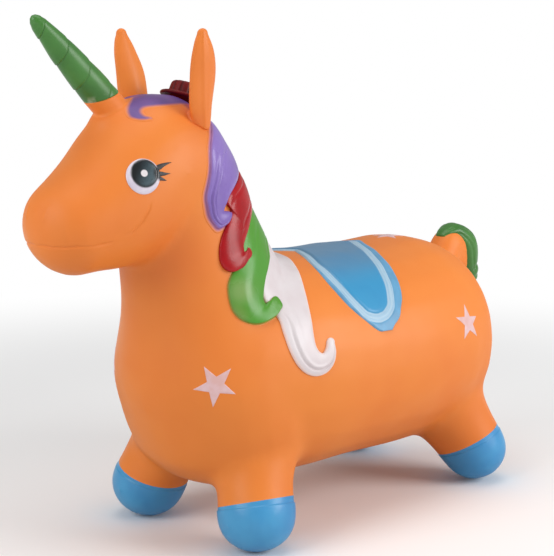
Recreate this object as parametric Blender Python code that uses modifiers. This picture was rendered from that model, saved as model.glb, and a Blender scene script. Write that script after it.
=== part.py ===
"""Bouncy ride-on animal: a blown vinyl hopper shaped like a small horse with a horn.

The animal faces -X, its left side is -Y and the floor is z = 0. The origin lies on the floor under the middle
of the bounding box. Lengths are metres.
"""
import math

import bmesh
import bpy
import numpy as np
from mathutils import Matrix, Vector
from mathutils.bvhtree import BVHTree

# Overall sizes, which the places in the tables are shares of
LENGTH = 0.600            # nose to tail
WIDTH = 0.240             # over the trunk and the feet
HEIGHT = 0.485            # floor to the tip of the horn

# The skin and its fits
WALL = 0.0022             # thickness of the vinyl
GAP = 0.0003              # clearance between neighbours that touch
SINK = 0.0045             # how deep a raised form starts below the skin before it is trimmed
OVERRUN = 0.0200          # how far a cutter runs past what it cuts
VOXEL = 0.0045            # grain of the fused skin
BLEND_FACTOR = 0.5        # how strongly one pass of smoothing blends the limbs
BLEND_PASSES = 22         # passes of smoothing
SKIN_FACES = 2100         # triangles kept on the outer skin
MERGE = 0.00005           # points nearer than this are one
SOLE_FLAT = 0.0005        # points of the soles lower than this are pressed flat

# Radii of the small limbs
COLLAR_RADIUS = 0.0190
TAIL_RADIUS = 0.0180

# Hooves
HOOF_REACH = 0.052        # half the width of the cutter that parts a hoof from its leg
FRONT_TILT_SHARES = (0.11, 0.34)    # fall of the paint line per length along X and Y, front left leg
REAR_TILT_SHARES = (-0.33, 0.40)

# Horn
HORN_LENGTH = 0.1030
HORN_RADIUS = 0.0150
HORN_RISE = math.radians(43.9)    # of the horn above the horizontal
HORN_TURNS = 3.35         # turns of the rolled edge
HORN_GROOVE = 0.0012

# Ears
EAR_RADIUS = 0.0140

# Raised forms
MANE_RELIEF = 0.0060
FORELOCK_RELIEF = 0.0030
SADDLE_RELIEF = 0.0034
STRIPE_RELIEF = 0.0026
TUFT_RADIUS = 0.0150
EYE_RADIUS = 0.0158
EYE_RELIEF = 0.0014
IRIS_RADIUS = 0.0120
IRIS_RELIEF = 0.0010      # above the white
IRIS_SINK = 0.0025        # starts nearer the skin than the white does

# Hat
HAT_RADIUS = 0.0200       # of the brim
HAT_HEIGHT = 0.0140
BRIM_THICKNESS = 0.0030
CROWN_RADIUS = 0.0135
HAT_RIBS = 12
RIB_DEPTH = 0.0006
HAT_LEAN = math.radians(22)
HAT_PLUG = 0.0120         # how far its seat reaches down before it is trimmed
CROWN_EDGE = 0.0012

# Valve
VALVE_SHARE = 0.187       # place along LENGTH, behind the middle
BOSS_RADIUS = 0.0095
BOSS_PROUD = 0.0030
BOSS_EDGE = 0.0006
SLEEVE_LENGTH = 0.0100    # of the boss inside the skin
BORE_RADIUS = 0.0050
FLANGE_RADIUS = 0.0085
FLANGE_THICKNESS = 0.0022
STEM_CORE = 0.0038        # radius between the ribs
STEM_RIBS = 3
STEM_ROOT_SHARE = 0.25    # of the rib pitch, below each rib
STEM_RIB_SHARE = 0.45     # of the rib pitch, its sloping side
TIP_LENGTH = 0.0030       # of the plug past the sleeve

# Colours, roughness
VINYL = ((0.80, 0.22, 0.045, 1.0), 0.42)
HORN_GREEN = ((0.08, 0.28, 0.06, 1.0), 0.35)
HOOF_BLUE = ((0.07, 0.33, 0.62, 1.0), 0.38)
STRIPE_BLUE = ((0.38, 0.62, 0.76, 1.0), 0.38)
PURPLE = ((0.27, 0.17, 0.55, 1.0), 0.33)
RED = ((0.42, 0.02, 0.03, 1.0), 0.33)
LOCK_GREEN = ((0.12, 0.38, 0.08, 1.0), 0.33)
WHITE = ((0.80, 0.74, 0.73, 1.0), 0.33)
HAT_RED = ((0.10, 0.005, 0.008, 1.0), 0.45)
EYE_WHITE = ((0.72, 0.68, 0.70, 1.0), 0.40)
EYE_DARK = ((0.025, 0.035, 0.045, 1.0), 0.35)

# Limbs. Each row: x share of LENGTH, y share of WIDTH, z share of HEIGHT, then two half sizes.
# Trunk and head: of WIDTH, of HEIGHT. Neck: of WIDTH, of LENGTH. Leg: of LENGTH, of WIDTH.
# Collar, tail, ear and tuft: of their radius, twice.
TRUNK_SHARES = [
    (-0.158, 0.000, 0.326, 0.426, 0.197),
    (-0.066, 0.000, 0.318, 0.468, 0.220),
    (0.050, 0.000, 0.313, 0.486, 0.215),
    (0.161, 0.000, 0.312, 0.500, 0.218),
    (0.274, 0.000, 0.315, 0.472, 0.222),
]
NECK_SHARES = [
    (-0.155, 0.000, 0.237, 0.417, 0.137),
    (-0.168, 0.000, 0.340, 0.408, 0.151),
    (-0.187, 0.000, 0.464, 0.312, 0.135),
    (-0.216, 0.000, 0.574, 0.251, 0.117),
    (-0.239, 0.000, 0.675, 0.230, 0.105),
]
HEAD_SHARES = [
    (-0.240, 0.000, 0.701, 0.230, 0.112),
    (-0.287, 0.000, 0.730, 0.244, 0.134),
    (-0.361, 0.000, 0.671, 0.234, 0.126),
    (-0.438, 0.000, 0.634, 0.193, 0.092),
]
COLLAR_SHARES = [
    (-0.330, 0.0, 0.770, 1.600, 1.600),
    (-0.363, 0.0, 0.818, 1.080, 1.120),
    (-0.374, 0.0, 0.836, 0.900, 0.920),
]
FRONT_LEG_SHARES = [
    (-0.158, -0.208, 0.231, 0.083, 0.208),
    (-0.167, -0.235, 0.175, 0.073, 0.183),
    (-0.181, -0.273, 0.124, 0.067, 0.165),
    (-0.195, -0.318, 0.066, 0.067, 0.163),
]
REAR_LEG_SHARES = [
    (0.283, -0.200, 0.231, 0.093, 0.217),
    (0.298, -0.238, 0.175, 0.080, 0.192),
    (0.317, -0.285, 0.120, 0.068, 0.169),
    (0.337, -0.335, 0.066, 0.065, 0.156),
]
TAIL_SHARES = [
    (0.362, 0.0, 0.443, 1.11, 1.11),
    (0.407, 0.0, 0.490, 1.03, 1.03),
    (0.445, 0.0, 0.490, 1.03, 1.03),
    (0.461, 0.0, 0.449, 0.92, 0.92),
    (0.456, 0.0, 0.408, 0.75, 0.75),
]
# Round ends of the limbs: how far each end's cap stands out, as a share of the limb's half size there
TRUNK_CAP_SHARES = (0.75, 0.85)
NECK_CAP_SHARES = (0.75, 0.90)
HEAD_CAP_SHARES = (0.85, 0.90)
COLLAR_CAP_SHARES = (0.5, 0.1)
TAIL_CAP_SHARES = (0.5, 0.9)
LEG_CAP_SHARES = (0.3, 0.9)
CAP_SHARES = (0.40, 0.70, 0.90, 0.985)   # where the rings of a round end lie along it
TRUNK_ROUNDNESS = 0.94    # below 1 the section is fuller than an ellipse
AROUND = 24               # points round a limb
RINGS_PER_ROW = 5         # rings from one row to the next

# Ears and tail tuft, in rows like the limbs'
EAR_SHARES = [
    (-0.256, -0.142, 0.767, 0.82, 0.61),
    (-0.258, -0.158, 0.800, 0.89, 0.61),
    (-0.263, -0.177, 0.845, 1.00, 0.61),
    (-0.263, -0.196, 0.893, 0.99, 0.56),
    (-0.265, -0.212, 0.938, 0.68, 0.43),
    (-0.267, -0.224, 0.965, 0.36, 0.26),
]
EAR_CAP_SHARES = (0.1, 0.9)
EAR_ROUNDNESS = 1.25      # above 1 the section has a ridge front and back
EAR_AROUND = 12
EAR_STEPS = 2
TUFT_SHARES = [
    (0.377, 0.000, 0.478, 0.77, 0.77),
    (0.400, 0.000, 0.495, 0.87, 0.97),
    (0.437, 0.000, 0.508, 1.00, 1.10),
    (0.472, 0.000, 0.488, 1.00, 1.10),
    (0.485, 0.000, 0.441, 0.87, 0.83),
    (0.491, 0.000, 0.410, 0.50, 0.47),
]
TUFT_CAP_SHARES = (0.6, 0.9)
TUFT_AROUND = 12
TUFT_STEPS = 3

# Raised forms on the left side, the skin giving their height. Each row holds a point of the front or lower
# edge and one of the rear or upper edge: x share of LENGTH, y share of WIDTH, z share of HEIGHT, twice.
PURPLE_SHARES = [
    (-0.202, 0.017, 0.819, -0.154, 0.017, 0.746),
    (-0.207, -0.058, 0.814, -0.157, -0.058, 0.736),
    (-0.222, -0.121, 0.803, -0.163, -0.133, 0.715),
    (-0.240, -0.179, 0.784, -0.178, -0.171, 0.703),
    (-0.253, -0.221, 0.759, -0.197, -0.204, 0.689),
    (-0.257, -0.233, 0.718, -0.212, -0.221, 0.676),
    (-0.262, -0.229, 0.680, -0.222, -0.229, 0.662),
    (-0.262, -0.225, 0.647, -0.230, -0.233, 0.648),
    (-0.253, -0.229, 0.623, -0.231, -0.233, 0.641),
    (-0.237, -0.233, 0.612, -0.225, -0.233, 0.636),
    (-0.218, -0.231, 0.623, -0.217, -0.231, 0.640),
    (-0.210, -0.229, 0.642, -0.213, -0.229, 0.645),
]
RED_SHARES = [
    (-0.151, 0.017, 0.738, -0.121, 0.017, 0.656),
    (-0.153, -0.058, 0.730, -0.125, -0.067, 0.649),
    (-0.163, -0.138, 0.705, -0.140, -0.138, 0.637),
    (-0.185, -0.183, 0.693, -0.153, -0.183, 0.625),
    (-0.207, -0.217, 0.678, -0.163, -0.204, 0.612),
    (-0.223, -0.231, 0.652, -0.172, -0.221, 0.602),
    (-0.230, -0.238, 0.616, -0.180, -0.233, 0.590),
    (-0.238, -0.240, 0.584, -0.187, -0.242, 0.577),
    (-0.238, -0.248, 0.555, -0.189, -0.246, 0.569),
    (-0.225, -0.258, 0.534, -0.188, -0.250, 0.563),
    (-0.197, -0.263, 0.538, -0.182, -0.250, 0.560),
    (-0.172, -0.248, 0.564, -0.173, -0.246, 0.568),
]
GREEN_SHARES = [
    (-0.117, 0.017, 0.649, -0.091, 0.017, 0.588),
    (-0.123, -0.075, 0.641, -0.097, -0.083, 0.581),
    (-0.137, -0.138, 0.631, -0.108, -0.150, 0.571),
    (-0.152, -0.188, 0.616, -0.122, -0.208, 0.548),
    (-0.168, -0.225, 0.590, -0.135, -0.238, 0.534),
    (-0.185, -0.254, 0.553, -0.148, -0.263, 0.518),
    (-0.212, -0.267, 0.528, -0.162, -0.279, 0.503),
    (-0.232, -0.267, 0.501, -0.172, -0.292, 0.491),
    (-0.228, -0.283, 0.466, -0.176, -0.300, 0.478),
    (-0.197, -0.327, 0.437, -0.172, -0.306, 0.472),
    (-0.165, -0.338, 0.440, -0.160, -0.312, 0.463),
    (-0.140, -0.329, 0.453, -0.147, -0.319, 0.469),
    (-0.135, -0.321, 0.464, -0.138, -0.319, 0.471),
]
WHITE_SHARES = [
    (-0.086, 0.017, 0.577, -0.030, 0.017, 0.538),
    (-0.088, -0.075, 0.573, -0.043, -0.117, 0.530),
    (-0.100, -0.142, 0.563, -0.060, -0.200, 0.518),
    (-0.122, -0.217, 0.538, -0.078, -0.275, 0.495),
    (-0.137, -0.258, 0.509, -0.092, -0.333, 0.470),
    (-0.148, -0.312, 0.470, -0.102, -0.375, 0.441),
    (-0.157, -0.354, 0.429, -0.110, -0.408, 0.412),
    (-0.160, -0.404, 0.384, -0.111, -0.425, 0.390),
    (-0.149, -0.423, 0.353, -0.107, -0.433, 0.377),
    (-0.125, -0.438, 0.334, -0.100, -0.438, 0.373),
    (-0.097, -0.450, 0.340, -0.093, -0.438, 0.377),
    (-0.077, -0.450, 0.367, -0.089, -0.433, 0.390),
    (-0.077, -0.433, 0.398, -0.085, -0.431, 0.401),
]
FORELOCK_SHARES = [
    (-0.230, 0.017, 0.847, -0.230, -0.092, 0.834),
    (-0.250, 0.017, 0.854, -0.250, -0.117, 0.830),
    (-0.273, 0.017, 0.858, -0.273, -0.125, 0.829),
    (-0.300, 0.017, 0.858, -0.293, -0.125, 0.825),
    (-0.328, 0.013, 0.849, -0.313, -0.117, 0.823),
    (-0.349, -0.025, 0.840, -0.327, -0.100, 0.827),
    (-0.361, -0.075, 0.825, -0.336, -0.102, 0.823),
    (-0.357, -0.117, 0.814, -0.340, -0.117, 0.819),
    (-0.338, -0.144, 0.814, -0.338, -0.133, 0.818),
]
SEAT_SHARES = [
    (0.026, 0.021, 0.532, 0.167, 0.021, 0.529),
    (0.011, -0.108, 0.529, 0.153, -0.075, 0.528),
    (-0.003, -0.179, 0.521, 0.140, -0.138, 0.523),
    (-0.013, -0.250, 0.506, 0.123, -0.200, 0.511),
    (-0.014, -0.300, 0.490, 0.110, -0.263, 0.495),
    (-0.007, -0.346, 0.469, 0.095, -0.321, 0.477),
    (0.007, -0.392, 0.443, 0.080, -0.367, 0.458),
    (0.020, -0.415, 0.430, 0.068, -0.394, 0.444),
    (0.030, -0.421, 0.425, 0.057, -0.406, 0.435),
    (0.038, -0.423, 0.424, 0.047, -0.413, 0.430),
]
PAD_SHARES = [
    (0.020, 0.021, 0.532, 0.187, 0.021, 0.530),
    (0.003, -0.108, 0.528, 0.175, -0.075, 0.529),
    (-0.010, -0.179, 0.520, 0.162, -0.142, 0.524),
    (-0.020, -0.258, 0.503, 0.148, -0.217, 0.512),
    (-0.023, -0.317, 0.485, 0.135, -0.288, 0.493),
    (-0.017, -0.371, 0.458, 0.122, -0.350, 0.470),
    (0.000, -0.419, 0.423, 0.103, -0.400, 0.442),
    (0.017, -0.442, 0.404, 0.087, -0.425, 0.425),
    (0.027, -0.450, 0.395, 0.072, -0.446, 0.404),
    (0.038, -0.454, 0.390, 0.057, -0.450, 0.393),
]
RELIEF_FULLNESS = 0.60    # below 1 a raised form has a fuller section than an ellipse
LOCK_STEPS = 15           # rings along a lock
LOCK_AROUND = 10          # points round it
PAD_STEPS = 11
PAD_AROUND = 14

# Feet, horn, hat, eyes: x share of LENGTH, y share of WIDTH, z share of HEIGHT
FRONT_FOOT_SHARES = (-0.195, -0.316)
REAR_FOOT_SHARES = (0.337, -0.335)
HOOF_LINE_SHARE = 0.106   # height of the paint line at the middle of the leg
ZONE_AROUND = 24
HORN_SHARES = (-0.3743, 0.0, 0.851)
HORN_TAPER_SHARES = [
    (-1.0, 1.0),
    (0.0, 1.0),
    (0.24, 0.95),
    (0.60, 0.78),
    (0.90, 0.50),
    (0.97, 0.30),
    (1.0, 0.08),
]
HORN_FADE_SHARE = 0.12    # of the length, where the rolled edge runs out at the tip
HORN_START_SHARE = 0.463  # of a turn, where the rolled edge starts
HORN_ROLL_SHARPNESS = 3
HORN_AROUND = 12
HORN_RINGS = 26
HAT_SHARES = (-0.215, 0.0, 0.8395)
CROWN_TOP_SHARE = 0.5
POINTS_PER_RIB = 2
TURNED_STEPS = 16
EYE_SHARES = (-0.375, -0.2125, 0.7237)
IRIS_SHARES = (-0.3725, -0.2125, 0.7285)
DISC_ROWS = 9
EYE_STEPS = 8
EYE_AROUND = 8


def spline(rows, rings_per_row):
    """Catmull-Rom curve through the rows, as an array with rings_per_row steps from one row to the next."""
    rows = np.asarray(rows, float)
    padded = np.vstack([2 * rows[0] - rows[1], rows, 2 * rows[-1] - rows[-2]])
    points = []
    for step in range((len(rows) - 1) * rings_per_row + 1):
        first = min(step // rings_per_row, len(rows) - 2)
        u = step / rings_per_row - first
        before, start, end, after = padded[first:first + 4]
        points.append(0.5 * (2 * start + (end - before) * u
                             + (2 * before - 5 * start + 4 * end - after) * u ** 2
                             + (3 * start - before - 3 * end + after) * u ** 3))
    return np.array(points)


def ellipse_ring(centre, forward, side, half_side, half_up, around, roundness=1.0):
    """Ring of points round centre, square to forward. A roundness below 1 fills the ellipse's corners."""
    side = side - forward * (side @ forward)
    side = side / np.linalg.norm(side)
    up = np.cross(forward, side)
    turn = np.linspace(0, 2 * math.pi, around, endpoint=False)
    across = np.sign(np.cos(turn)) * np.abs(np.cos(turn)) ** roundness
    along = np.sign(np.sin(turn)) * np.abs(np.sin(turn)) ** roundness
    return centre + np.outer(across * half_side, side) + np.outer(along * half_up, up)


def loft(rings):
    """Closed bmesh through rings of equal count, with both ends capped."""
    form = bmesh.new()
    loops = [[form.verts.new(point) for point in ring] for ring in rings]
    count = len(loops[0])
    for near, far in zip(loops, loops[1:]):
        for i in range(count):
            j = (i + 1) % count
            form.faces.new((near[i], near[j], far[j], far[i]))
    form.faces.new(loops[0][::-1])
    form.faces.new(loops[-1])
    bmesh.ops.recalc_face_normals(form, faces=form.faces[:])
    return form


def limb_rings(shares, section, side, cap_shares, roundness=1.0, around=AROUND,
               rings_per_row=RINGS_PER_ROW):
    """Rings of one blown limb with round ends. Its half sizes are shares of the two sizes in section."""
    keys = spline(np.array(shares) * (LENGTH, WIDTH, HEIGHT, *section), rings_per_row)
    centres = keys[:, :3]
    forwards = np.gradient(centres, axis=0)
    forwards /= np.linalg.norm(forwards, axis=1)[:, None]
    rings = []

    def add_cap(key, forward, cap_share, ring_shares):
        reach = (key[3] + key[4]) / 2 * cap_share
        for share in ring_shares:
            narrow = math.sqrt(1 - share ** 2)
            rings.append(ellipse_ring(key[:3] + forward * reach * share, forward, side,
                                      key[3] * narrow, key[4] * narrow, around, roundness))

    add_cap(keys[0], forwards[0], -cap_shares[0], CAP_SHARES[::-1])
    for key, forward in zip(keys, forwards):
        rings.append(ellipse_ring(key[:3], forward, side, key[3], key[4], around, roundness))
    add_cap(keys[-1], forwards[-1], cap_shares[1], CAP_SHARES)
    return rings


def mirrored(rings):
    """The same rings on the animal's other side."""
    return [ring * (1, -1, 1) for ring in rings]


def blended_skin(part_rings):
    """One smooth outer skin from overlapping closed limbs, symmetric and flat under the feet."""
    joined = bmesh.new()
    for rings in part_rings:
        limb = loft(rings)
        piece = bpy.data.meshes.new("limb")
        limb.to_mesh(piece)
        limb.free()
        joined.from_mesh(piece)
        bpy.data.meshes.remove(piece)
    mesh = bpy.data.meshes.new("limbs")
    joined.to_mesh(mesh)
    joined.free()
    limbs = bpy.data.objects.new("limbs", mesh)
    bpy.context.scene.collection.objects.link(limbs)
    fuse = limbs.modifiers.new("fuse", "REMESH")
    fuse.mode = "VOXEL"
    fuse.voxel_size = VOXEL
    blend = limbs.modifiers.new("blend", "SMOOTH")
    blend.factor = BLEND_FACTOR
    blend.iterations = BLEND_PASSES
    mirror = limbs.modifiers.new("mirror", "MIRROR")
    mirror.use_axis = (False, True, False)
    mirror.use_bisect_axis = (False, True, False)
    mirror.use_bisect_flip_axis = (False, True, False)
    mirror.merge_threshold = MERGE
    skin = evaluated_mesh(limbs)
    remove_object(limbs)
    for vertex in skin.vertices:
        vertex.co.z = max(vertex.co.z, 0.0)
    return skin


def evaluated_mesh(item):
    """A copy of the object's mesh with its modifiers applied."""
    bpy.context.view_layer.update()
    seen = item.evaluated_get(bpy.context.evaluated_depsgraph_get())
    return bpy.data.meshes.new_from_object(seen)


def remove_object(item):
    mesh = item.data
    bpy.data.objects.remove(item, do_unlink=True)
    bpy.data.meshes.remove(mesh)


def coarse_skin(fine):
    """The skin with about SKIN_FACES triangles, the same on both sides."""
    form = bmesh.new()
    form.from_mesh(fine)
    bmesh.ops.bisect_plane(form, geom=form.verts[:] + form.edges[:] + form.faces[:], dist=MERGE,
                           plane_co=(0, 0, 0), plane_no=(0, 1, 0), clear_outer=True)
    draft = bpy.data.objects.new("skin_draft", mesh_from(form, "skin_draft"))
    bpy.context.scene.collection.objects.link(draft)
    fewer = draft.modifiers.new("fewer", "DECIMATE")
    fewer.ratio = SKIN_FACES / sum(len(face.vertices) - 2 for face in fine.polygons)
    fewer.use_collapse_triangulate = True
    form = bmesh.new()
    form.from_mesh(evaluated_mesh(draft))
    remove_object(draft)
    for vertex in form.verts:
        if vertex.is_boundary:
            vertex.co.y = 0.0
        if vertex.co.z < SOLE_FLAT:
            vertex.co.z = 0.0
    in_plane = [face for face in form.faces if all(vertex.co.y == 0.0 for vertex in face.verts)]
    bmesh.ops.delete(form, geom=in_plane, context="FACES")
    half = bpy.data.objects.new("skin_half", mesh_from(form, "skin_half"))
    bpy.context.scene.collection.objects.link(half)
    mirror = half.modifiers.new("mirror", "MIRROR")
    mirror.use_axis = (False, True, False)
    mirror.merge_threshold = MERGE
    coarse = evaluated_mesh(half)
    remove_object(half)
    return coarse


def add_mirror(item):
    """Keep the left half, cut at the middle plane, and mirror it."""
    mirror = item.modifiers.new("mirror", "MIRROR")
    mirror.use_axis = (False, True, False)
    mirror.use_bisect_axis = (False, True, False)
    mirror.use_bisect_flip_axis = (False, True, False)
    mirror.merge_threshold = MERGE


def add_boolean(item, operation, cutter):
    """Cut or join. Both forms are triangulated first, so that every face that is left stays flat."""
    for form in (item, cutter):
        if "facets" not in form.modifiers:
            form.modifiers.new("facets", "TRIANGULATE")
    cut = item.modifiers.new(cutter.name, "BOOLEAN")
    cut.operation = operation
    cut.solver = "MANIFOLD"
    cut.object = cutter


def mesh_from(form, name):
    """Mesh from a bmesh, which is freed."""
    mesh = bpy.data.meshes.new(name)
    form.to_mesh(mesh)
    form.free()
    return mesh


def flipped(mesh):
    """The same mesh on the animal's other side."""
    twin = mesh.copy()
    twin.transform(Matrix.Scale(-1, 4, Vector((0, 1, 0))))
    twin.flip_normals()
    return twin


def resampled(rows, steps):
    """The rows along a smooth curve through them, evenly spaced, steps + 1 of them."""
    dense = spline(rows, steps)
    travel = np.linalg.norm(np.diff(dense, axis=0), axis=1)
    travel = np.concatenate([[0], np.cumsum(travel)])
    places = np.linspace(0, travel[-1], steps + 1)
    return np.stack([np.interp(places, travel, column) for column in dense.T], axis=1)


def relief_mesh(name, rows, surface, relief, steps, around, sink=SINK):
    """Closed form raised on the skin between the front and the rear edge that the rows hold.

    Each ring runs over the skin from one edge to the other, at a height that swells between them, and back
    below the skin. A narrow stretch rises less than a wide one.
    """
    turn = np.linspace(0, 2 * math.pi, around, endpoint=False)
    across = (1 - np.cos(turn)) / 2
    swell = np.sign(np.sin(turn)) * np.abs(np.sin(turn)) ** RELIEF_FULLNESS
    rings = []
    for row in resampled(rows, steps):
        front, rear = row[:3], row[3:]
        width = np.linalg.norm(rear - front)
        rise = relief * width / (width + relief)
        ring = []
        for share, lift in zip(across, swell):
            place, normal, _, _ = surface.find_nearest(Vector(front + (rear - front) * share))
            ring.append(np.array(place + normal * lift * (rise if lift > 0 else sink)))
        rings.append(np.array(ring))
    return mesh_from(loft(rings), name)


def edge_rows(shares):
    """A table of front and rear edge points, in metres."""
    return np.array(shares) * (LENGTH, WIDTH, HEIGHT, LENGTH, WIDTH, HEIGHT)


def both_halves(mesh):
    """Closed symmetric mesh from one that runs a little over the middle plane."""
    draft = bpy.data.objects.new("half", mesh)
    bpy.context.scene.collection.objects.link(draft)
    add_mirror(draft)
    whole = evaluated_mesh(draft)
    whole.name = mesh.name
    remove_object(draft)
    return whole


def disc_rows(shares, surface, radius):
    """Rows of front and rear edge points round a circle on the skin."""
    aim = Vector(np.array(shares) * (LENGTH, WIDTH, HEIGHT))
    centre, normal, _, _ = surface.find_nearest(aim)
    along = normal.cross(Vector((0, 0, 1))).normalized()
    up = along.cross(normal)
    turn = np.linspace(0, math.pi, DISC_ROWS + 2)[1:-1]
    centre = np.array(centre)
    ways = np.outer(np.cos(turn), along)
    lift = np.outer(np.sin(turn), up)
    return np.hstack([centre + (ways - lift) * radius, centre + (ways + lift) * radius])


def horn_mesh():
    """Tapered cone with a rolled spiral step, from its seat on the collar to a round tip."""
    lean = Vector((-math.cos(HORN_RISE), 0, math.sin(HORN_RISE)))
    axis = np.array(lean)
    side = np.array((0.0, 1.0, 0.0))
    base = np.array(HORN_SHARES) * (LENGTH, WIDTH, HEIGHT)
    turn = np.linspace(0, 2 * math.pi, HORN_AROUND, endpoint=False)
    places, taper_shares = zip(*HORN_TAPER_SHARES)
    rings = []
    for place in np.concatenate([[-SINK / HORN_LENGTH], np.linspace(0, 1, HORN_RINGS)]):
        radius = HORN_RADIUS * np.interp(place, places, taper_shares)
        roll = (HORN_TURNS * place + HORN_START_SHARE - turn / (2 * math.pi)) % 1.0
        fade = min(1.0, (1 - place) / HORN_FADE_SHARE)
        radii = radius - HORN_GROOVE * roll ** HORN_ROLL_SHARPNESS * fade
        ring = ellipse_ring(np.zeros(3), axis, side, 1.0, 1.0, HORN_AROUND) * radii[:, None]
        rings.append(base + axis * HORN_LENGTH * place + ring)
    return mesh_from(loft(rings), "horn")


def hat_mesh():
    """Small hat: a round brim and a ribbed crown, on a plug that reaches the skin below."""
    profile = [
        (CROWN_RADIUS, -HAT_PLUG),
        (CROWN_RADIUS, 0.0),
        (HAT_RADIUS - BRIM_THICKNESS / 2, 0.0),
        (HAT_RADIUS, BRIM_THICKNESS / 2),
        (HAT_RADIUS - BRIM_THICKNESS / 2, BRIM_THICKNESS),
        (CROWN_RADIUS, BRIM_THICKNESS),
        (CROWN_RADIUS, HAT_HEIGHT - CROWN_EDGE),
        (CROWN_RADIUS - CROWN_EDGE, HAT_HEIGHT),
        (CROWN_RADIUS * CROWN_TOP_SHARE, HAT_HEIGHT),
    ]
    turn = np.linspace(0, 2 * math.pi, HAT_RIBS * POINTS_PER_RIB, endpoint=False)
    ribs = np.cos(turn * HAT_RIBS) * RIB_DEPTH / 2
    rings = []
    for radius, height in profile:
        on_crown = BRIM_THICKNESS <= height and radius <= CROWN_RADIUS
        radii = radius + (ribs * radius / CROWN_RADIUS if on_crown else 0.0 * ribs)
        rings.append(np.stack([np.cos(turn) * radii, np.sin(turn) * radii, 0 * turn + height], axis=1))
    mesh = mesh_from(loft(rings), "hat")
    seat = Matrix.Translation(np.array(HAT_SHARES) * (LENGTH, WIDTH, HEIGHT))
    mesh.transform(seat @ Matrix.Rotation(HAT_LEAN, 4, "Y"))
    return mesh


def turned(name, profile, place, collection, material=None):
    """Solid of revolution about the vertical through place. The profile has (radius, height) pairs."""
    outline = bmesh.new()
    points = [outline.verts.new((radius, 0.0, height)) for radius, height in reversed(profile)]
    for near, far in zip(points, points[1:]):
        outline.edges.new((near, far))
    item = add_object(name, mesh_from(outline, name), collection, material)
    item.location = place
    spin = item.modifiers.new("spin", "SCREW")
    spin.axis = "Z"
    spin.steps = spin.render_steps = TURNED_STEPS
    spin.use_merge_vertices = True
    spin.merge_threshold = MERGE
    return item


def hoof_zone(name, centre_shares, tilt_shares, drop, collection):
    """Cutter that holds the foot up to its sloping paint line, drop lower."""
    centre = np.array(centre_shares) * (LENGTH, WIDTH)
    form = bmesh.new()
    bmesh.ops.create_cone(form, cap_ends=True, segments=ZONE_AROUND, radius1=HOOF_REACH, radius2=HOOF_REACH,
                          depth=OVERRUN)
    for vertex in form.verts:
        if vertex.co.z > 0:
            fall = vertex.co.x * tilt_shares[0] + vertex.co.y * tilt_shares[1]
            vertex.co.z = HEIGHT * HOOF_LINE_SHARE - drop - fall
        else:
            vertex.co.z = -OVERRUN
    form.transform(Matrix.Translation((*centre, 0.0)))
    return add_object(name, mesh_from(form, name), collection)


def new_material(name, finish):
    colour, roughness = finish
    material = bpy.data.materials.new(name)
    material.use_nodes = True
    shader = material.node_tree.nodes["Principled BSDF"]
    shader.inputs["Base Color"].default_value = colour
    shader.inputs["Roughness"].default_value = roughness
    shader.inputs["Metallic"].default_value = 0.0
    material.diffuse_color = colour
    return material


def add_object(name, mesh, collection, material=None):
    item = bpy.data.objects.new(name, mesh)
    collection.objects.link(item)
    if material:
        mesh.materials.clear()
        mesh.materials.append(material)
        if mesh.polygons:
            mesh.shade_smooth()
    else:
        item.hide_render = True
        item.display_type = "WIRE"
    return item


def add_clearance(mesh, collection):
    """Cutter with the form of the mesh, larger all round by the clearance."""
    cutter = add_object(mesh.name + "_clearance", mesh.copy(), collection)
    grow = cutter.modifiers.new("grow", "DISPLACE")
    grow.mid_level = 0.0
    grow.strength = GAP
    return cutter


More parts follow.
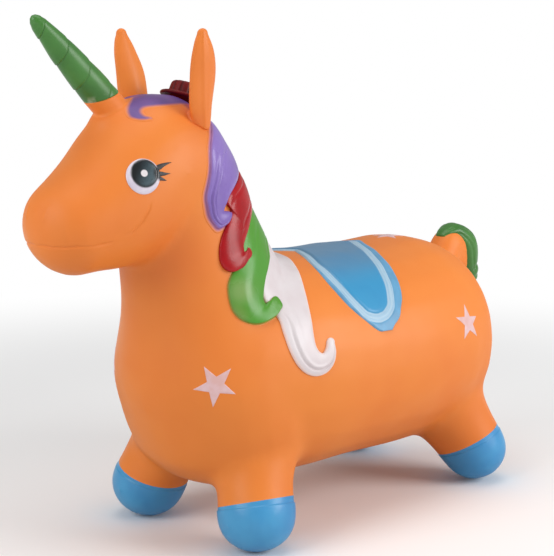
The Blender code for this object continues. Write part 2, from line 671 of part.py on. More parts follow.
def main():
    for item in list(bpy.data.objects):
        bpy.data.objects.remove(item, do_unlink=True)
    parts = bpy.data.collections.new("bouncy_animal")
    cutters = bpy.data.collections.new("cutters")
    for collection in (parts, cutters):
        bpy.context.scene.collection.children.link(collection)

    # Skin
    across = np.array((0.0, 1.0, 0.0))
    lengthwise = np.array((1.0, 0.0, 0.0))
    limbs = [
        limb_rings(TRUNK_SHARES, (WIDTH, HEIGHT), across, TRUNK_CAP_SHARES, TRUNK_ROUNDNESS),
        limb_rings(NECK_SHARES, (WIDTH, LENGTH), across, NECK_CAP_SHARES),
        limb_rings(HEAD_SHARES, (WIDTH, HEIGHT), across, HEAD_CAP_SHARES),
        limb_rings(COLLAR_SHARES, (COLLAR_RADIUS, COLLAR_RADIUS), across, COLLAR_CAP_SHARES),
        limb_rings(TAIL_SHARES, (TAIL_RADIUS, TAIL_RADIUS), across, TAIL_CAP_SHARES),
    ]
    for leg_shares in (FRONT_LEG_SHARES, REAR_LEG_SHARES):
        leg = limb_rings(leg_shares, (LENGTH, WIDTH), lengthwise, LEG_CAP_SHARES)
        limbs += [leg, mirrored(leg)]
    fine = blended_skin(limbs)
    fine.name = "fine_skin"
    surface = BVHTree.FromPolygons([vertex.co for vertex in fine.vertices],
                                   [tuple(face.vertices) for face in fine.polygons])
    outer = coarse_skin(fine)
    outer.name = "skin"
    skin_clearance = add_clearance(outer, cutters)

    vinyl = new_material("vinyl_orange", VINYL)
    body = add_object("body_shell", outer, parts, vinyl)
    wall = body.modifiers.new("wall", "SOLIDIFY")
    wall.thickness = WALL
    wall.offset = -1.0

    # Hooves
    hoof_blue = new_material("hoof_blue", HOOF_BLUE)
    for place, centre_shares, tilt_shares in (("front", FRONT_FOOT_SHARES, FRONT_TILT_SHARES),
                                              ("rear", REAR_FOOT_SHARES, REAR_TILT_SHARES)):
        for hand, sign in (("left", 1), ("right", -1)):
            turned_centre = (centre_shares[0], centre_shares[1] * sign)
            turned_tilt = (tilt_shares[0], tilt_shares[1] * sign)
            name = "hoof_" + place + "_" + hand
            zone = hoof_zone(name + "_zone", turned_centre, turned_tilt, 0.0, cutters)
            add_boolean(body, "DIFFERENCE", zone)
            keep = hoof_zone(name + "_keep", turned_centre, turned_tilt, GAP, cutters)
            hoof = add_object(name, outer.copy(), parts, hoof_blue)
            lining = hoof.modifiers.new("wall", "SOLIDIFY")
            lining.thickness = WALL
            lining.offset = -1.0
            add_boolean(hoof, "INTERSECT", keep)

    # Valve
    valve_x = LENGTH * VALVE_SHARE
    belly, _, _, _ = surface.ray_cast(Vector((valve_x, 0.0, -OVERRUN)), Vector((0, 0, 1)))
    boss_low = belly.z - BOSS_PROUD
    boss_high = belly.z + WALL + SLEEVE_LENGTH
    boss = turned("valve_boss", [(0.0, boss_low), (BOSS_RADIUS - BOSS_EDGE, boss_low),
                                 (BOSS_RADIUS, boss_low + BOSS_EDGE), (BOSS_RADIUS, boss_high),
                                 (0.0, boss_high)], (valve_x, 0.0, 0.0), cutters)
    bore = turned("valve_bore", [(0.0, boss_low - OVERRUN), (BORE_RADIUS, boss_low - OVERRUN),
                                 (BORE_RADIUS, boss_high + OVERRUN), (0.0, boss_high + OVERRUN)],
                  (valve_x, 0.0, 0.0), cutters)
    add_boolean(body, "UNION", boss)
    add_boolean(body, "DIFFERENCE", bore)

    flange_high = boss_low - GAP
    flange_low = flange_high - FLANGE_THICKNESS
    rib_radius = BORE_RADIUS - GAP
    profile = [(0.0, flange_low), (FLANGE_RADIUS - BOSS_EDGE, flange_low),
               (FLANGE_RADIUS, flange_low + BOSS_EDGE), (FLANGE_RADIUS, flange_high),
               (STEM_CORE, flange_high)]
    rib_pitch = (boss_high - boss_low) / STEM_RIBS
    for rib in range(STEM_RIBS):
        rib_low = boss_low + rib_pitch * (rib + STEM_ROOT_SHARE)
        profile += [(STEM_CORE, rib_low), (rib_radius, rib_low),
                    (STEM_CORE, rib_low + rib_pitch * STEM_RIB_SHARE)]
    tip = boss_high + TIP_LENGTH
    profile += [(STEM_CORE, tip - BOSS_EDGE), (STEM_CORE - BOSS_EDGE, tip), (0.0, tip)]
    turned("valve_plug", profile, (valve_x, 0.0, 0.0), parts, new_material("plug_orange", VINYL))

    # Horn, on its collar
    horn = add_object("horn", horn_mesh(), parts, new_material("horn_green", HORN_GREEN))
    add_boolean(horn, "DIFFERENCE", skin_clearance)

    # Ears
    ear_mesh = mesh_from(loft(limb_rings(EAR_SHARES, (EAR_RADIUS, EAR_RADIUS), lengthwise, EAR_CAP_SHARES,
                                         EAR_ROUNDNESS, EAR_AROUND, EAR_STEPS)), "ear_left")
    ear_clearances = []
    for name, mesh in (("ear_left", ear_mesh), ("ear_right", flipped(ear_mesh))):
        mesh.name = name
        ear_clearances.append(add_clearance(mesh, cutters))
        ear = add_object(name, mesh, parts, vinyl)
        add_boolean(ear, "DIFFERENCE", skin_clearance)

    # Mane, each lock trimmed by the one that lies over it
    over = ear_clearances
    for name, shares, finish in (("mane_purple", PURPLE_SHARES, PURPLE),
                                 ("mane_red", RED_SHARES, RED),
                                 ("mane_green", GREEN_SHARES, LOCK_GREEN),
                                 ("mane_white", WHITE_SHARES, WHITE)):
        mesh = both_halves(relief_mesh(name, edge_rows(shares), surface, MANE_RELIEF,
                                       LOCK_STEPS, LOCK_AROUND))
        lock = add_object(name, mesh, parts, new_material(name, finish))
        add_boolean(lock, "DIFFERENCE", skin_clearance)
        for cutter in over:
            add_boolean(lock, "DIFFERENCE", cutter)
        over = [add_clearance(mesh, cutters)]
        if name == "mane_purple":
            purple_clearance = over[0]

    # Forelock and hat
    mesh = both_halves(relief_mesh("forelock", edge_rows(FORELOCK_SHARES), surface, FORELOCK_RELIEF,
                                   LOCK_STEPS, LOCK_AROUND))
    forelock = add_object("forelock", mesh, parts, new_material("forelock_purple", PURPLE))
    add_boolean(forelock, "DIFFERENCE", skin_clearance)
    hat = add_object("hat", hat_mesh(), parts, new_material("hat_red", HAT_RED))
    for cutter in (skin_clearance, add_clearance(mesh, cutters), purple_clearance):
        add_boolean(hat, "DIFFERENCE", cutter)

    # Saddle and its edging
    seat_mesh = both_halves(relief_mesh("saddle", edge_rows(SEAT_SHARES), surface, SADDLE_RELIEF,
                                        PAD_STEPS, PAD_AROUND))
    saddle = add_object("saddle", seat_mesh, parts, new_material("saddle_blue", HOOF_BLUE))
    add_boolean(saddle, "DIFFERENCE", skin_clearance)
    pad_mesh = both_halves(relief_mesh("saddle_stripe", edge_rows(PAD_SHARES), surface, STRIPE_RELIEF,
                                       PAD_STEPS, PAD_AROUND))
    stripe = add_object("saddle_stripe", pad_mesh, parts, new_material("stripe_blue", STRIPE_BLUE))
    add_boolean(stripe, "DIFFERENCE", skin_clearance)
    seat_zone = both_halves(relief_mesh("saddle_zone", edge_rows(SEAT_SHARES), surface, OVERRUN,
                                        PAD_STEPS, PAD_AROUND, OVERRUN))
    add_boolean(stripe, "DIFFERENCE", add_clearance(seat_zone, cutters))

    # Tail tuft
    tuft_mesh = mesh_from(loft(limb_rings(TUFT_SHARES, (TUFT_RADIUS, TUFT_RADIUS), across, TUFT_CAP_SHARES,
                                          1.0, TUFT_AROUND, TUFT_STEPS)), "tail_tuft")
    tuft = add_object("tail_tuft", tuft_mesh, parts, new_material("tuft_green", HORN_GREEN))
    add_boolean(tuft, "DIFFERENCE", skin_clearance)

    # Eyes
    eye_mesh = relief_mesh("eye_left", disc_rows(EYE_SHARES, surface, EYE_RADIUS), surface, EYE_RELIEF,
                           EYE_STEPS, EYE_AROUND)
    iris_mesh = relief_mesh("iris_left", disc_rows(IRIS_SHARES, surface, IRIS_RADIUS), surface,
                            EYE_RELIEF + IRIS_RELIEF, EYE_STEPS, EYE_AROUND, IRIS_SINK)
    eye_white = new_material("eye_white", EYE_WHITE)
    eye_dark = new_material("eye_dark", EYE_DARK)
    for hand, white, dark in (("left", eye_mesh, iris_mesh),
                              ("right", flipped(eye_mesh), flipped(iris_mesh))):
        eye = add_object("eye_" + hand, white, parts, eye_white)
        iris = add_object("iris_" + hand, dark, parts, eye_dark)
        add_boolean(eye, "DIFFERENCE", skin_clearance)
        add_boolean(iris, "DIFFERENCE", skin_clearance)
        add_boolean(iris, "DIFFERENCE", add_clearance(white, cutters))
    bpy.data.meshes.remove(fine)


if __name__ == "__main__":
    main()
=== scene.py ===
"""Looks of the bouncy ride-on animal: one blown vinyl skin with sprayed raised forms.

The animal faces -X, its left side is -Y and the floor is z = 0. Lengths are metres.
"""
import math

import bmesh
import bpy
import numpy as np
from mathutils import Matrix, Vector
from mathutils.bvhtree import BVHTree
from mathutils.interpolate import poly_3d_calc


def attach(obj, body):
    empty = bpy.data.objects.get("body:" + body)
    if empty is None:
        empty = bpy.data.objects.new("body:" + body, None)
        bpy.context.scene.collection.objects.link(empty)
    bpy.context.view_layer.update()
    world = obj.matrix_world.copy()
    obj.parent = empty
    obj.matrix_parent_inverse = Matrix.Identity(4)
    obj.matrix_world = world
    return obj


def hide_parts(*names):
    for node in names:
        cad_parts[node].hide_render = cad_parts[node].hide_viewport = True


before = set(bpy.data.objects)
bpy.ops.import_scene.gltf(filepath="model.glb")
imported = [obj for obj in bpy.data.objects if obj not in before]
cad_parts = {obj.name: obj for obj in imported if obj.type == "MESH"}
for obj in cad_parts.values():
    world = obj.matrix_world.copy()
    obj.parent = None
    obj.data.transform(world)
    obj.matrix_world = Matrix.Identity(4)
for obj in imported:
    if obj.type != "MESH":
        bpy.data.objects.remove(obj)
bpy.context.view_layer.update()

# Overall sizes, which the places in the tables are shares of
LENGTH = 0.600
WIDTH = 0.240
HEIGHT = 0.485
PLACE = (LENGTH, WIDTH, HEIGHT)

# The skin, blended as the solids' skin is
VOXEL = 0.0045
BLEND_FACTOR = 0.5
BLEND_PASSES = 22
MERGE = 0.00005
SOLE_SNAP = 0.0004          # skin lower than this lies flat on the floor
BULGE_SHARE = 0.75          # how much of its roundness a place between the skin's corners is given
COLLAR_RADIUS = 0.0190
TAIL_RADIUS = 0.0180
TRUNK_SHARES = [
    (-0.158, 0.000, 0.326, 0.426, 0.197),
    (-0.066, 0.000, 0.318, 0.468, 0.220),
    (0.050, 0.000, 0.313, 0.486, 0.215),
    (0.161, 0.000, 0.312, 0.500, 0.218),
    (0.274, 0.000, 0.315, 0.472, 0.222),
]
NECK_SHARES = [
    (-0.155, 0.000, 0.237, 0.417, 0.137),
    (-0.168, 0.000, 0.340, 0.408, 0.151),
    (-0.187, 0.000, 0.464, 0.312, 0.135),
    (-0.216, 0.000, 0.574, 0.251, 0.117),
    (-0.239, 0.000, 0.675, 0.230, 0.105),
]
HEAD_SHARES = [
    (-0.240, 0.000, 0.701, 0.230, 0.112),
    (-0.287, 0.000, 0.730, 0.244, 0.134),
    (-0.361, 0.000, 0.671, 0.234, 0.126),
    (-0.438, 0.000, 0.634, 0.193, 0.092),
]
COLLAR_SHARES = [
    (-0.330, 0.0, 0.770, 1.600, 1.600),
    (-0.363, 0.0, 0.818, 1.080, 1.120),
    (-0.374, 0.0, 0.836, 0.900, 0.920),
]
FRONT_LEG_SHARES = [
    (-0.150, -0.188, 0.231, 0.089, 0.222),
    (-0.163, -0.222, 0.175, 0.072, 0.183),
    (-0.181, -0.273, 0.124, 0.060, 0.148),
    (-0.195, -0.318, 0.066, 0.062, 0.151),
]
REAR_LEG_SHARES = [
    (0.283, -0.200, 0.231, 0.092, 0.214),
    (0.299, -0.240, 0.175, 0.076, 0.183),
    (0.3195, -0.290, 0.120, 0.0625, 0.156),
    (0.3405, -0.343, 0.066, 0.0585, 0.141),
]
TAIL_SHARES = [
    (0.402, 0.0, 0.430, 1.04, 1.04),
    (0.421, 0.0, 0.4925, 1.03, 1.05),
    (0.443, 0.0, 0.490, 0.98, 0.98),
    (0.455, 0.0, 0.454, 0.86, 0.86),
    (0.452, 0.0, 0.415, 0.62, 0.62),
]
TRUNK_CAP_SHARES = (0.75, 0.85)
NECK_CAP_SHARES = (0.75, 0.90)
HEAD_CAP_SHARES = (0.85, 0.90)
COLLAR_CAP_SHARES = (0.5, 0.1)
TAIL_CAP_SHARES = (0.5, 0.9)
LEG_CAP_SHARES = (0.3, 0.9)
CAP_SHARES = (0.40, 0.70, 0.90, 0.985)
TRUNK_ROUNDNESS = 0.94
LIMB_AROUND = 24
LIMB_STEPS = 5

# Ears and tail tuft
EAR_RADIUS = 0.0140
EAR_SHARES = [
    (-0.250, -0.150, 0.767, 0.50, 0.42),
    (-0.248, -0.168, 0.797, 0.70, 0.52),
    (-0.256, -0.188, 0.845, 1.04, 0.60),
    (-0.2575, -0.2035, 0.893, 1.10, 0.54),
    (-0.262, -0.218, 0.930, 0.92, 0.46),
    (-0.265, -0.2245, 0.953, 0.67, 0.37),
    (-0.266, -0.227, 0.968, 0.42, 0.27),
]
EAR_CAP_SHARES = (0.1, 1.0)
EAR_ROUNDNESS = 1.25
TUFT_RADIUS = 0.0150
TUFT_SHARES = [
    (0.405, 0.000, 0.516, 0.44, 0.22),
    (0.418, 0.000, 0.522, 0.68, 0.38),
    (0.439, 0.000, 0.520, 1.00, 0.72),
    (0.464, 0.000, 0.491, 1.24, 1.14),
    (0.475, 0.000, 0.447, 1.10, 1.02),
    (0.492, 0.000, 0.412, 0.66, 0.62),
]
TUFT_CAP_SHARES = (0.6, 0.9)

# Raised forms: a point of the front or lower edge, then one of the rear or upper edge, in thousandths of PLACE
PURPLE_EDGES = [
    (-202, 0, 819, -154, 0, 746), (-207, -58, 814, -157, -58, 736), (-222, -121, 803, -163, -133, 715),
    (-240, -179, 784, -178, -171, 703), (-253, -221, 759, -197, -204, 689), (-257, -233, 718, -212, -221, 676),
    (-262, -229, 680, -222, -229, 662), (-259, -223, 657, -226, -229, 656), (-256, -225, 641, -228, -230, 652),
    (-250, -231, 628, -229, -231, 650), (-241, -235, 617, -228, -231, 649), (-230, -236, 620, -224, -231, 648),
    (-219, -235, 627, -219, -231, 647), (-213, -232, 636, -215, -231, 645),
]
RED_EDGES = [
    (-151, 0, 738, -121, 0, 656), (-153, -58, 730, -125, -67, 649), (-169, -153, 706, -145, -150, 638),
    (-191, -196, 693, -157, -188, 627), (-213, -220, 681, -169, -212, 613), (-224, -227, 664, -178, -226, 602),
    (-214, -229, 649, -185, -236, 594), (-219, -233, 634, -190, -242, 587), (-228, -237, 617, -193, -245, 582),
    (-236, -238, 600, -194, -248, 575), (-241, -238, 578, -192, -249, 571), (-241, -244, 556, -193, -249, 571),
    (-235, -253, 542, -192, -249, 572), (-225, -259, 536, -191, -248, 574), (-214, -263, 538, -191, -247, 575),
    (-203, -262, 543, -190, -247, 576), (-194, -257, 551, -189, -247, 576),
]
GREEN_EDGES = [
    (-118, 0, 657, -91, 0, 588), (-127, -75, 650, -97, -83, 581), (-150, -150, 645, -106, -140, 574),
    (-170, -200, 633, -114, -168, 569), (-180, -221, 615, -122, -196, 561), (-193, -239, 595, -129, -224, 544),
    (-204, -250, 574, -142, -252, 528), (-213, -258, 553, -156, -273, 514), (-223, -261, 534, -165, -285, 501),
    (-232, -266, 514, -171, -293, 489), (-233, -270, 490, -174, -299, 479), (-230, -284, 466, -173, -303, 474),
    (-221, -303, 450, -172, -305, 471), (-205, -321, 440, -171, -305, 472), (-189, -331, 438, -169, -303, 473),
    (-173, -334, 442, -164, -302, 475), (-159, -333, 448, -160, -300, 478), (-150, -328, 456, -155, -299, 480),
]
WHITE_EDGES = [
    (-86, 0, 580, -30, 0, 538), (-95, -80, 584, -44, -120, 530), (-125, -185, 574, -59, -197, 518),
    (-160, -250, 548, -78, -276, 495), (-172, -278, 515, -92, -332, 470), (-173, -300, 482, -102, -376, 441),
    (-159, -339, 445, -109, -406, 412), (-160, -375, 417, -111, -423, 390), (-158, -402, 386, -108, -432, 379),
    (-149, -420, 359, -104, -437, 375), (-135, -431, 341, -100, -439, 374), (-118, -441, 333, -97, -439, 377),
    (-99, -450, 336, -94, -437, 381), (-84, -453, 350, -91, -434, 387), (-77, -450, 370, -89, -430, 393),
    (-76, -440, 388, -86, -429, 397),
]
FORELOCK_EDGES = [
    (-222, 17, 844, -222, 0, 842), (-234, 17, 849, -236, -80, 839), (-250, 17, 854, -254, -103, 840),
    (-273, 17, 858, -277, -117, 841), (-300, 17, 858, -300, -120, 841), (-319, 5, 855, -317, -110, 840),
    (-333, -23, 849, -328, -98, 839), (-352, -61, 842, -337, -97, 835), (-358, -75, 832, -341, -105, 830),
    (-360, -95, 823, -342, -115, 827), (-354, -117, 819, -341, -125, 824), (-345, -134, 817, -338, -133, 823),
    (-338, -142, 819, -336, -139, 822),
]
SEAT_EDGES = [
    (28, 0, 531, 156, 0, 528), (14, -80, 527, 138, -80, 525), (-6, -188, 517, 124, -150, 518),
    (-10, -266, 500, 112, -215, 509), (-8, -329, 478, 96, -294, 488), (-2, -369, 458, 84, -348, 469),
    (8, -400, 439, 71, -387, 448), (14, -412, 431, 63, -403, 437), (26, -419, 426, 49, -416, 428),
    (34, -421, 425, 41, -419, 426),
]
PAD_EDGES = [
    (20, 0, 532, 185, 0, 530), (2, -70, 530, 169, -64, 527), (-15, -147, 525, 155, -150, 521),
    (-27, -237, 509, 142, -227, 507), (-31, -314, 484, 130, -302, 487), (-25, -367, 459, 118, -358, 467),
    (-12, -406, 435, 106, -396, 445), (6, -431, 414, 92, -422, 429), (16, -441, 403, 80, -439, 412),
    (24, -449, 396, 64, -448, 400), (30, -453, 393, 56, -454, 392),
]

# Camera, matched to the photograph's viewing angle
CAMERA_PLACE = (-1.0448, -1.0175, 0.473)
CAMERA_AZIMUTH = math.radians(45.4)
CAMERA_DROP = math.radians(9.4)
FOCAL_PIXELS = 1500
PICTURE_PIXELS = 556
SENSOR = 0.036


# ---------------------------------------------------------------- shapes

def spline(rows, rings_per_row):
    """Catmull-Rom curve through the rows, as an array with rings_per_row steps from one row to the next."""
    rows = np.asarray(rows, float)
    padded = np.vstack([2 * rows[0] - rows[1], rows, 2 * rows[-1] - rows[-2]])
    points = []
    for step in range((len(rows) - 1) * rings_per_row + 1):
        first = min(step // rings_per_row, len(rows) - 2)
        u = step / rings_per_row - first
        before, start, end, after = padded[first:first + 4]
        points.append(0.5 * (2 * start + (end - before) * u
                             + (2 * before - 5 * start + 4 * end - after) * u ** 2
                             + (3 * start - before - 3 * end + after) * u ** 3))
    return np.array(points)


def resampled(rows, steps):
    """The rows along a smooth curve through them, evenly spaced, steps + 1 of them."""
    dense = spline(rows, steps)
    travel = np.linalg.norm(np.diff(dense, axis=0), axis=1)
    travel = np.concatenate([[0], np.cumsum(travel)])
    places = np.linspace(0, travel[-1], steps + 1)
    return np.stack([np.interp(places, travel, column) for column in dense.T], axis=1)


def full_turn(around):
    """Evenly spaced angles round one turn."""
    return np.linspace(0, 2 * math.pi, around, endpoint=False)


def ellipse_ring(centre, forward, side, half_side, half_up, around, roundness=1.0):
    """Ring of points round centre, square to forward. A roundness below 1 fills the ellipse's corners."""
    side = side - forward * (side @ forward)
    side = side / np.linalg.norm(side)
    up = np.cross(forward, side)
    turn = full_turn(around)
    across = np.sign(np.cos(turn)) * np.abs(np.cos(turn)) ** roundness
    along = np.sign(np.sin(turn)) * np.abs(np.sin(turn)) ** roundness
    return centre + np.outer(across * half_side, side) + np.outer(along * half_up, up)


def limb_rings(shares, section, side, cap_shares, roundness=1.0, around=LIMB_AROUND, steps=LIMB_STEPS,
               cap_ring_shares=CAP_SHARES):
    """Rings of one blown limb with round ends. Its half sizes are shares of the two sizes in section."""
    keys = spline(np.array(shares) * (*PLACE, *section), steps)
    centres = keys[:, :3]
    forwards = np.gradient(centres, axis=0)
    forwards /= np.linalg.norm(forwards, axis=1)[:, None]
    rings = []

    def add_cap(key, forward, cap_share, ring_shares):
        reach = (key[3] + key[4]) / 2 * cap_share
        for share in ring_shares:
            narrow = math.sqrt(1 - share ** 2)
            rings.append(ellipse_ring(key[:3] + forward * reach * share, forward, side,
                                      key[3] * narrow, key[4] * narrow, around, roundness))

    add_cap(keys[0], forwards[0], -cap_shares[0], cap_ring_shares[::-1])
    for key, forward in zip(keys, forwards):
        rings.append(ellipse_ring(key[:3], forward, side, key[3], key[4], around, roundness))
    add_cap(keys[-1], forwards[-1], cap_shares[1], cap_ring_shares)
    return rings


def mirrored(rings):
    """The same rings on the animal's other side."""
    return [ring * (1, -1, 1) for ring in rings]


def loft_mesh(name, rings, hoop=False, **attributes):
    """Closed mesh through rings of equal count. Both ends are capped, or meet in a hoop.

    An attribute holds a row of values for each ring.
    """
    rings = np.array(rings)
    count, around = rings.shape[:2]
    points = rings.reshape(-1, 3)
    spans = np.arange(count if hoop else count - 1)[:, None]
    here = np.arange(around)[None, :]
    beside = (here + 1) % around
    onward = (spans + 1) % count * around
    quads = np.stack([spans * around + here, spans * around + beside, onward + beside, onward + here], axis=-1)
    faces = quads.reshape(-1, 4).tolist()
    if not hoop:
        faces.append(list(range(around))[::-1])
        faces.append(list(range((count - 1) * around, count * around)))
    corners = points - points.mean(axis=0)
    first, second, third, fourth = (corners[quads.reshape(-1, 4)[:, k]] for k in range(4))
    volume = (first * (np.cross(second, third) + np.cross(third, fourth))).sum()
    for cap in faces[quads.size // 4:]:
        volume += (corners[cap[0]] * np.cross(corners[cap[1:-1]], corners[cap[2:]])).sum()
    if volume < 0:
        faces = [face[::-1] for face in faces]
    mesh = bpy.data.meshes.new(name)
    mesh.from_pydata(points.tolist(), [], faces)
    for key, values in attributes.items():
        layer = mesh.attributes.new(key, "FLOAT", "POINT")
        layer.data.foreach_set("value", np.array(values, np.float32).ravel())
    mesh.update()
    return mesh


def new_object(name, data):
    """An object that is in the scene."""
    item = bpy.data.objects.new(name, data)
    bpy.context.scene.collection.objects.link(item)
    return item


def evaluated_mesh(item):
    """A copy of the object's mesh with its modifiers applied."""
    bpy.context.view_layer.update()
    seen = item.evaluated_get(bpy.context.evaluated_depsgraph_get())
    return bpy.data.meshes.new_from_object(seen)


def remove_object(item):
    mesh = item.data
    bpy.data.objects.remove(item, do_unlink=True)
    bpy.data.meshes.remove(mesh)


def mesh_from(form, name):
    """Mesh from a bmesh, which is freed."""
    mesh = bpy.data.meshes.new(name)
    form.to_mesh(mesh)
    form.free()
    return mesh


def blended_skin(part_rings):
    """One smooth outer skin from overlapping closed limbs: fused, smoothed, symmetric, flat under the feet."""
    joined = bmesh.new()
    for rings in part_rings:
        piece = loft_mesh("limb", rings)
        joined.from_mesh(piece)
        bpy.data.meshes.remove(piece)
    limbs = new_object("limbs", mesh_from(joined, "limbs"))
    fuse = limbs.modifiers.new("fuse", "REMESH")
    fuse.mode = "VOXEL"
    fuse.voxel_size = VOXEL
    blend = limbs.modifiers.new("blend", "SMOOTH")
    blend.factor = BLEND_FACTOR
    blend.iterations = BLEND_PASSES
    mirror = limbs.modifiers.new("mirror", "MIRROR")
    mirror.use_axis = mirror.use_bisect_axis = mirror.use_bisect_flip_axis = (False, True, False)
    mirror.merge_threshold = MERGE
    skin = evaluated_mesh(limbs)
    remove_object(limbs)
    for vertex in skin.vertices:
        vertex.co.z = max(vertex.co.z, 0.0)
    return skin


class Surface:
    """The skin with smooth normals, for setting other forms on it."""

    def __init__(self, mesh):
        mesh.calc_loop_triangles()
        self.points = [vertex.co.copy() for vertex in mesh.vertices]
        self.normals = [vertex.normal.copy() for vertex in mesh.vertices]
        self.triangles = [tuple(triangle.vertices) for triangle in mesh.loop_triangles]
        self.tree = BVHTree.FromPolygons(self.points, self.triangles)

    def foot(self, point):
        """The nearest place on the skin, rounded between its corners, and the normal there."""
        place, _, index, _ = self.tree.find_nearest(Vector(point))
        corners = self.triangles[index]
        weights = poly_3d_calc([self.points[corner] for corner in corners], place)
        normal = Vector((0, 0, 0))
        bulge = Vector((0, 0, 0))
        for corner, weight in zip(corners, weights):
            normal += self.normals[corner] * weight
            offset = place - self.points[corner]
            bulge -= self.normals[corner] * (offset.dot(self.normals[corner]) * weight)
        normal.normalize()
        return place + bulge * BULGE_SHARE, normal

    def above(self, point, lift):
        place, normal = self.foot(point)
        return place + normal * lift


def smoothstep(low, high, value):
    """0 below low, 1 above high and smooth between."""
    share = np.clip((value - low) / (high - low), 0, 1)
    return share * share * (3 - 2 * share)


def window(along, start, end, soft):
    """1 between start and end, fading out over soft at both."""
    return smoothstep(start - soft, start + soft, along) * (1 - smoothstep(end - soft, end + soft, along))


def path_distance(path, points):
    """Distance from each point to the path, and how far along the path its nearest place is."""
    path = np.array(path, float)
    starts, ways = path[:-1], np.diff(path, axis=0)
    lengths = np.linalg.norm(ways, axis=1)
    travel = np.concatenate([[0], np.cumsum(lengths)])
    nearest = np.full(len(points), np.inf)
    along = np.zeros(len(points))
    for start, way, length, before in zip(starts, ways, lengths, travel):
        share = np.clip(((points - start) @ way) / length ** 2, 0, 1)
        distance = np.linalg.norm(points - start - share[:, None] * way, axis=1)
        closer = distance < nearest
        nearest[closer] = distance[closer]
        along[closer] = before + share[closer] * length
    return nearest, along, travel[-1]


def to_left(points):
    """The same points, those on the right side brought over to the left side."""
    return np.stack([points[:, 0], -np.abs(points[:, 1]), points[:, 2]], axis=1)


# ---------------------------------------------------------------- materials

def srgb(red, green, blue):
    """Linear colour from the 0 to 255 values seen on a screen."""
    parts = [part / 255 for part in (red, green, blue)]
    return (*[part / 12.92 if part <= 0.04045 else ((part + 0.055) / 1.055) ** 2.4 for part in parts], 1.0)


ORANGE = srgb(234, 136, 56)
ORANGE_DEEP = srgb(224, 118, 46)
HOOF_BLUE = srgb(72, 158, 208)
HOOF_BLUE_DEEP = srgb(58, 140, 196)
HORN_GREEN = srgb(66, 125, 50)
HORN_GREEN_DEEP = srgb(50, 103, 39)
PURPLE = srgb(140, 116, 188)
PURPLE_DEEP = srgb(120, 94, 170)
RED = srgb(174, 8, 20)
RED_DEEP = srgb(146, 4, 14)
GREEN = srgb(82, 146, 46)
GREEN_PALE = srgb(136, 166, 100)
WHITE = srgb(220, 212, 214)
WHITE_PINK = srgb(210, 196, 198)
SEAT_BLUE = srgb(52, 146, 194)
SEAT_BLUE_DEEP = srgb(40, 130, 182)
SEAT_BLUE_DULL = srgb(86, 134, 170)
MARGIN_BLUE = srgb(98, 160, 200)
STRIPE_WHITE = srgb(168, 196, 214)
HAT_RED = srgb(112, 8, 10)
HAT_RED_DEEP = srgb(80, 4, 8)
EYE_WHITE = srgb(222, 214, 224)
EYE_WHITE_SHADE = srgb(206, 196, 212)
EYE_DARK = srgb(18, 22, 26)
EYE_TEAL = srgb(66, 86, 94)
GLINT = srgb(226, 220, 222)
STAR_WHITE = srgb(226, 192, 196)
STAR_PINK = srgb(220, 176, 172)
HORN_CREASE_SHADE = srgb(34, 80, 30)
HORN_CREASE_HIGHLIGHT = srgb(132, 170, 118)
HORN_RUB = srgb(196, 206, 186)
TUFT_GLINT = srgb(206, 222, 196)
GREEN_SHADE = srgb(80, 150, 52)
GREEN_OLIVE = srgb(140, 150, 88)
WHITE_WARM = srgb(246, 214, 200)
FORELOCK_PURPLE = srgb(110, 72, 144)
FORELOCK_DEEP = srgb(96, 66, 136)
FORELOCK_CREST_HIGHLIGHT = srgb(106, 110, 146)
HAT_GROOVE_SHADE = srgb(58, 4, 8)
LASH_BROWN = srgb(44, 36, 34)

# Soft spots of another tint: centre on the left, radius where it ends and where it is full, strength, tint
OVERSPRAY_AND_THROAT_SHADE = [
    ((-0.1575, -0.0400, 0.3970), 0.013, 0.0026, 0.50, srgb(206, 82, 54)),
    ((-0.1515, -0.0270, 0.4060), 0.011, 0.0022, 0.80, srgb(158, 62, 84)),
    # Painted shade: a deeper orange under the chin and throat, where shade falls
    ((-0.1900, -0.0500, 0.2780), 0.060, 0.0120, 0.30, srgb(206, 88, 44)),
]
# Pale patches on the green lock, partly painted highlight and partly dusty paint
GREEN_SHEEN_AND_DUST = [
    ((-0.1290, -0.0655, 0.2420), 0.018, 0.004, 0.80, GREEN_PALE),
    ((-0.1370, -0.0690, 0.2200), 0.017, 0.004, 0.45, GREEN_OLIVE),
]

# Surface of every material
WEAR_SCALE = 14.0
ROUGHNESS_SPREAD = 0.05
GRAIN = 0.12
SWELL_SCALE = 60.0
SWELL_DEPTH = 0.0012
PORE_SCALE = 1400.0
PORE_DEPTH = 0.00012


def add_node(tree, kind, inputs=None, **settings):
    made = tree.nodes.new(kind)
    for key, value in settings.items():
        setattr(made, key, value)
    for key, value in (inputs or {}).items():
        if isinstance(value, bpy.types.NodeSocket):
            tree.links.new(value, made.inputs[key])
        else:
            made.inputs[key].default_value = value
    return made


def mixed(tree, factor, first, second):
    """Colour socket between two colours."""
    return add_node(tree, "ShaderNodeMix", {0: factor, 6: first, 7: second}, data_type="RGBA").outputs[2]


def ranged(tree, value, low, high, from_value=0.0, to_value=1.0):
    """Socket that runs smoothly from one value to the other as the input goes from low to high."""
    return add_node(tree, "ShaderNodeMapRange",
                    {"Value": value, "From Min": low, "From Max": high, "To Min": from_value, "To Max": to_value},
                    interpolation_type="SMOOTHSTEP").outputs[0]


def place_socket(tree):
    return add_node(tree, "ShaderNodeTexCoord").outputs["Object"]


def left_place_socket(tree):
    """Object coordinates with the right side brought over to the left."""
    apart = add_node(tree, "ShaderNodeSeparateXYZ", {0: place_socket(tree)})
    flat = add_node(tree, "ShaderNodeMath", {0: apart.outputs[1]}, operation="ABSOLUTE")
    left = add_node(tree, "ShaderNodeMath", {0: flat.outputs[0], 1: -1.0}, operation="MULTIPLY")
    return add_node(tree, "ShaderNodeCombineXYZ",
                    {0: apart.outputs[0], 1: left.outputs[0], 2: apart.outputs[2]}).outputs[0]


